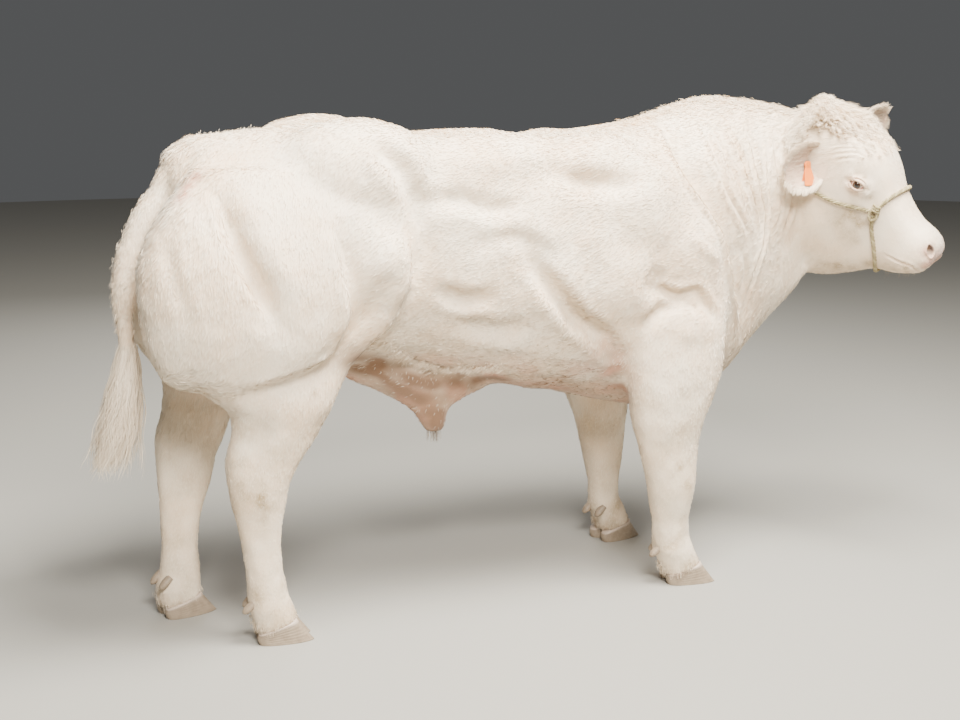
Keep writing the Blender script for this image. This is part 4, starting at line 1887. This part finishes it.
# %% The switch of the tail
SWITCH_LOCKS, SWITCH_LEVELS = 420, 60
SWITCH_TIP = np.array([-1.275, -0.01, 0.47])
core_rows = smooth_path(SWITCH_CORE, SWITCH_LEVELS)
chooser = np.random.default_rng(211)
row_at = (chooser.uniform(0.0, 1.0, SWITCH_LOCKS) ** 1.15 * (SWITCH_LEVELS - 1)).astype(int)
around = chooser.uniform(0, math.tau, SWITCH_LOCKS)
outward = np.stack([np.cos(around), np.sin(around), np.zeros(SWITCH_LOCKS)], 1)
core_spots = core_rows[row_at]
switch_points = core_spots[:, :3] + np.array(PLACE) + outward * (core_spots[:, 3:] * 0.8)
switch_marks = np.tile([0.0, 0.0, 0.25, 0.0, 0.0], (SWITCH_LOCKS, 1))
switch_marks[:, 1] = chooser.uniform(0, 0.1, SWITCH_LOCKS)
roots = Roots(switch_points, outward, switch_marks)
to_tip = SWITCH_TIP + np.array(PLACE) - switch_points
reach = np.linalg.norm(to_tip, axis=1)
heading = outward * chooser.uniform(0.1, 0.42, (SWITCH_LOCKS, 1)) + np.array([-0.16, 0.0, -1.0])
fall = unit(to_tip) + outward * 0.05
switch_lengths = np.clip(reach * chooser.uniform(0.55, 1.08, SWITCH_LOCKS), 0.07, 0.36)
pulls = chooser.uniform(0.1, 0.25, SWITCH_LOCKS)
locks("tail_switch_hair", roots, heading, fall, switch_lengths, pulls, 12, 12, 0.0052, 0.0019, coat,
      212, UPWARDS, FORWARDS, gather=0.55, wave=0.011, waves=2.3, uneven=0.35,
      round_look=0.45)
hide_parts("tail_switch")

# %% [markdown]
# ## Fringes
#
# What makes a coat read as hair is its edge. Longer hair stands along the crest and the root of the
# tail, hangs from the fold of the belly, rims the ears, lies over the crown rope and stands out round
# the coronets. A few whiskers hang from the chin, dark bristles end the sheath, and the eyes have
# pale lashes.

# %% Fringes of the body
BACKWARDS, DOWNWARDS = np.array([-1.0, 0.0, 0.0]), np.array([0.0, 0.0, -1.0])


def mixed(roots, out, backwards, downwards):
    """A direction between straight out of the skin, backwards and downwards."""
    return unit(roots.normals * out + BACKWARDS * backwards + DOWNWARDS * downwards)


def fringe(name, weight, count, seed, length, heading, fall, strands=5, spread=0.004, width=0.0013,
           pull=0.35, axis=FORWARDS, over=UPWARDS, marks=None):
    """Loose locks sown by a weight; their heading and fall are mixes of directions."""
    chooser = np.random.default_rng(seed)
    roots = sown(weight, count, seed)
    if marks:
        roots.marks[:, :] = marks
    heading = mixed(roots, *heading) + chooser.normal(size=(count, 3)) * 0.16
    fall = mixed(roots, *fall) + chooser.normal(size=(count, 3)) * 0.16
    lengths = length * chooser.uniform(0.55, 1.25, count)
    locks(name, roots, heading, fall, lengths, np.full(count, pull), 4, strands, spread, width, coat,
          seed + 1, axis, over, gather=0.45, wave=0.0012, waves=1.0, round_look=0.45)


tri_up = normals_of(skin_mesh)[skin_triangles].mean(1)[:, 2]
crest_weight = (is_trunk & (tri_x > 0.34)) * eased(tri_up, 0.6, 0.9)
crest_weight *= eased(np.abs(tri_y + 0.02), 0.09, 0.03)
fringe("coat_crest", crest_weight, 1100, 301, 0.019, (0.65, 0.8, 0.0), (-0.4, 1.0, 0.0))
tail_back = ((tri_x < -0.8) & (tri_z > 1.02) & (np.abs(tri_y) < 0.075)) * eased(tri_up, 0.05, 0.5)
tail_back = np.maximum(tail_back, is_tail * (tri_z > 0.86) * 0.5)
fringe("coat_tail_head", tail_back, 1300, 311, 0.019, (0.42, 0.3, 0.8), (0.0, 0.1, 1.0))
# The edge of the belly's fold, as the photo's pixels
FRINGE_LINE = ((385, 344), (405, 355), (421, 362), (447, 368), (474, 368), (500, 366))
fringe_spots = seen_spots([tuple(p) for p in smooth_path(FRINGE_LINE, 26)])
fringe_spots += [Vector((x, 2 * PLACE.y - y, z)) for x, y, z in fringe_spots]
belly_weight = spot_mark(fringe_spots, 0.013)[skin_triangles].mean(1)
fringe("coat_belly", belly_weight, 1000, 321, 0.02, (0.25, 0.7, 0.6), (0.0, 0.8, 0.5),
       marks=(0.02, 0.06, 0.5, 0.0, 0.0))
coronet_weight = (tri_z < 0.085) * eased(tri_z, 0.085, 0.055)
fringe("coat_coronets", coronet_weight, 1400, 341, 0.018, (0.35, 0.0, 1.0), (0.05, 0.0, 1.0), strands=4,
       axis=(0, 1, 0), over=FORWARDS)
CHIN, CHIN_RADIUS = np.array([0.5, 0.0, -0.15]), 0.035
from_chin = np.linalg.norm(tri_head - CHIN, axis=1)
chin_weight = is_head * np.exp(-((from_chin / CHIN_RADIUS) ** 2))
fringe("chin_whiskers", chin_weight, 26, 351, 0.024, (0.9, 0.0, 0.4), (0.0, 0.3, 1.0), strands=1,
       width=0.0006)

# %% Hair over the crown rope, from behind the ears to the poll
over_rope = [(-0.004, -0.15, -0.055), (-0.024, -0.132, -0.028), (-0.044, -0.112, 0.0),
             (-0.064, -0.08, 0.022)]
over_rope += [(x, -y, z) for x, y, z in over_rope]
rope_weight = np.zeros(len(tri_head))
for spot in over_rope:
    apart = np.linalg.norm(tri_head - np.array(spot), axis=1)
    rope_weight = np.maximum(rope_weight, np.exp(-((apart / 0.022) ** 2)))
fringe("coat_over_rope", rope_weight, 900, 371, 0.034, (0.75, 0.5, 0.3), (0.0, 0.5, 0.6), strands=7,
       spread=0.005, width=0.0015, pull=0.28)

# %% Dark bristles at the sheath's tip
BRISTLES, BRISTLE_LENGTH = 26, 0.04
SHEATH_TIP = np.array([-0.3, 0.0, 0.487]) + np.array(PLACE)
tip_weight = np.exp(-((np.linalg.norm(triangle_middles - SHEATH_TIP, axis=1) / 0.022) ** 2))
roots = sown(tip_weight, BRISTLES, 361)
roots.marks[:, :] = (0.0, 0.9, 0.5, 0.9, 0.6)
locks("sheath_bristles", roots, roots.normals * 0.3 + DOWNWARDS, np.tile(DOWNWARDS, (BRISTLES, 1)),
      np.full(BRISTLES, BRISTLE_LENGTH), np.full(BRISTLES, 0.3), 4, 4, 0.003, 0.0011, coat, 362,
      FORWARDS, (0, 1, 0), wave=0.002)

# %% [markdown]
# Cattle have longer hair along the ear's rim, and short hair inside it and on its back. A bump would
# do for the back, but an edge of real hair shows against what is behind it, so all three are locks.

# %% Ear hair
def ear_roots(label, shares, across, marks):
    """Roots on an ear's hollow face at given shares of its length and width."""
    place = ear_frame(label)
    axes = np.array(place.to_3x3())
    spots = np.array([ear_spot(s, np.array([a]))[0] for s, a in zip(shares, across)])
    beyond = np.array([ear_spot(min(s + 0.02, 1.0), np.array([a]))[0] for s, a in zip(shares, across)])
    beside = np.array([ear_spot(s, np.array([a + 0.02]))[0] for s, a in zip(shares, across)])
    normals = unit(np.cross(beyond - spots, beside - spots))
    normals *= np.sign(normals[:, 2:] + 1e-9)
    roots = Roots(placed(place, spots), normals @ axes.T, np.tile(np.array(marks, float), (len(spots), 1)))
    return roots, axes[:, 0], axes[:, 1]


EAR_MARKS, INNER_EAR_MARKS = (0.05, 0.02, 0.35, 0.0, 0.0), (0.3, 0.05, 0.5, 0.0, 0.0)
RIM_LOCKS, INNER_LOCKS = 1000, 900
for label, seed in (("right", 401), ("left", 421)):
    chooser = np.random.default_rng(seed)
    count = RIM_LOCKS
    across = np.sign(chooser.normal(size=count)) * (1.0 - 0.14 * chooser.uniform(size=count) ** 1.5)
    shares = chooser.uniform(0.02, 0.99, count)
    roots, along, side = ear_roots(label, shares, across, EAR_MARKS)
    out = side * np.sign(across)[:, None]
    heading = out * 0.8 + along * 0.7 + roots.normals * chooser.uniform(-0.4, 0.5, (count, 1))
    fall = along * 0.8 + np.array([0.0, 0.0, -0.5])
    locks(f"ear_rim_hair_{label}", roots, heading, np.tile(unit(fall), (count, 1)),
          0.022 * chooser.uniform(0.6, 1.3, count), np.full(count, 0.25), 4, 4, 0.0022, 0.0012, coat,
          seed + 1, along, side, gather=0.4, wave=0.001, round_look=0.45)
    count = INNER_LOCKS
    across = chooser.uniform(-0.92, 0.92, count)
    shares = chooser.uniform(0.05, 0.92, count)
    roots, along, side = ear_roots(label, shares, across, INNER_EAR_MARKS)
    heading = along * 1.0 + roots.normals * 0.35 + side * across[:, None] * 0.3
    locks(f"ear_inner_hair_{label}", roots, heading, np.tile(along, (count, 1)) - roots.normals * 0.3,
          0.024 * chooser.uniform(0.6, 1.2, count), np.full(count, 0.25), 4, 3, 0.0026, 0.0012, coat,
          seed + 3, along, side, gather=0.4, wave=0.0015, round_look=0.75)
    roots, along, side = ear_roots(label, shares, across, EAR_MARKS)
    back = Roots(roots.points - roots.normals * EAR_THICKNESS * 0.75, -roots.normals, roots.marks)
    heading = along * 1.0 + back.normals * 0.25 + side * across[:, None] * 0.3
    locks(f"ear_back_hair_{label}", back, heading, np.tile(along, (count, 1)) - back.normals * 0.3,
          0.018 * chooser.uniform(0.6, 1.2, count), np.full(count, 0.3), 3, 4, 0.0035, 0.0014, coat,
          seed + 5, along, side, gather=0.3, wave=0.001, round_look=0.8)

# %% [markdown]
# The lashes are rooted on the rim of the lids, long on the upper one and short on the lower one. They
# could be painted on a card. Single ribbons cost little here, and look right from every side.

# %% Lashes
UPPER_LASH, LOWER_LASH = 0.015, 0.008
LASH_MARKS = [0.1, 0.15, 0.6, 0.0, 0.0]
for side, name in ((-1, "lashes_right"), (1, "lashes_left")):
    place = eye_frame(side)
    axes = np.array(place.to_3x3())
    chooser = np.random.default_rng(451)
    angles = np.concatenate([np.linspace(0.18, 0.82, 64), np.linspace(1.15, 1.85, 30)]) * math.pi
    upper = np.sin(angles) > 0
    c, s = np.cos(angles), np.sin(angles)
    height = np.where(upper, SLIT_ABOVE, SLIT_BELOW)
    x, y = SLIT_HALF_LENGTH * c * 0.985, height * s * (1.0 - 0.25 * c ** 4) * 0.97
    z = np.sqrt((EYE_RADIUS + 0.0028) ** 2 - x ** 2 - y ** 2)
    spots = np.stack([x, y, z], 1)
    out = unit(spots)
    heading = out * 0.9 + np.stack([c * 0.35, np.where(upper, 0.15, -0.35), np.zeros(len(c))], 1)
    fall = np.stack([c * 0.2, np.where(upper, 0.25, -0.35), np.full(len(c), 0.2)], 1)
    roots = Roots(placed(place, spots), out @ axes.T, np.tile(LASH_MARKS, (len(c), 1)))
    lengths = np.where(upper, UPPER_LASH, LOWER_LASH) * chooser.uniform(0.8, 1.15, len(c))
    locks(name, roots, heading @ axes.T, fall @ axes.T, lengths, np.full(len(c), 0.25), 4, 2, 0.0004,
          0.0006, coat, 452, axes[:, 0], axes[:, 2], gather=0.3)

# %% [markdown]
# ## Floor
#
# A grey disc wide enough for every view.

# %% Floor
FLOOR_RADIUS, FLOOR_GREY = 14.0, (0.33, 0.32, 0.29, 1.0)
bm = bmesh.new()
bmesh.ops.create_circle(bm, cap_ends=True, segments=96, radius=FLOOR_RADIUS)
floor_mesh = poured(bm, "floor")
floor = bpy.data.objects.new("floor", floor_mesh)
scene.collection.objects.link(floor)
floor_look, tree_nodes, shader = new_material("floor")
set_inputs(shader, {"Base Color": FLOOR_GREY, "Roughness": 0.85})
floor_mesh.materials.append(floor_look)
print("floor radius:", FLOOR_RADIUS, "m")
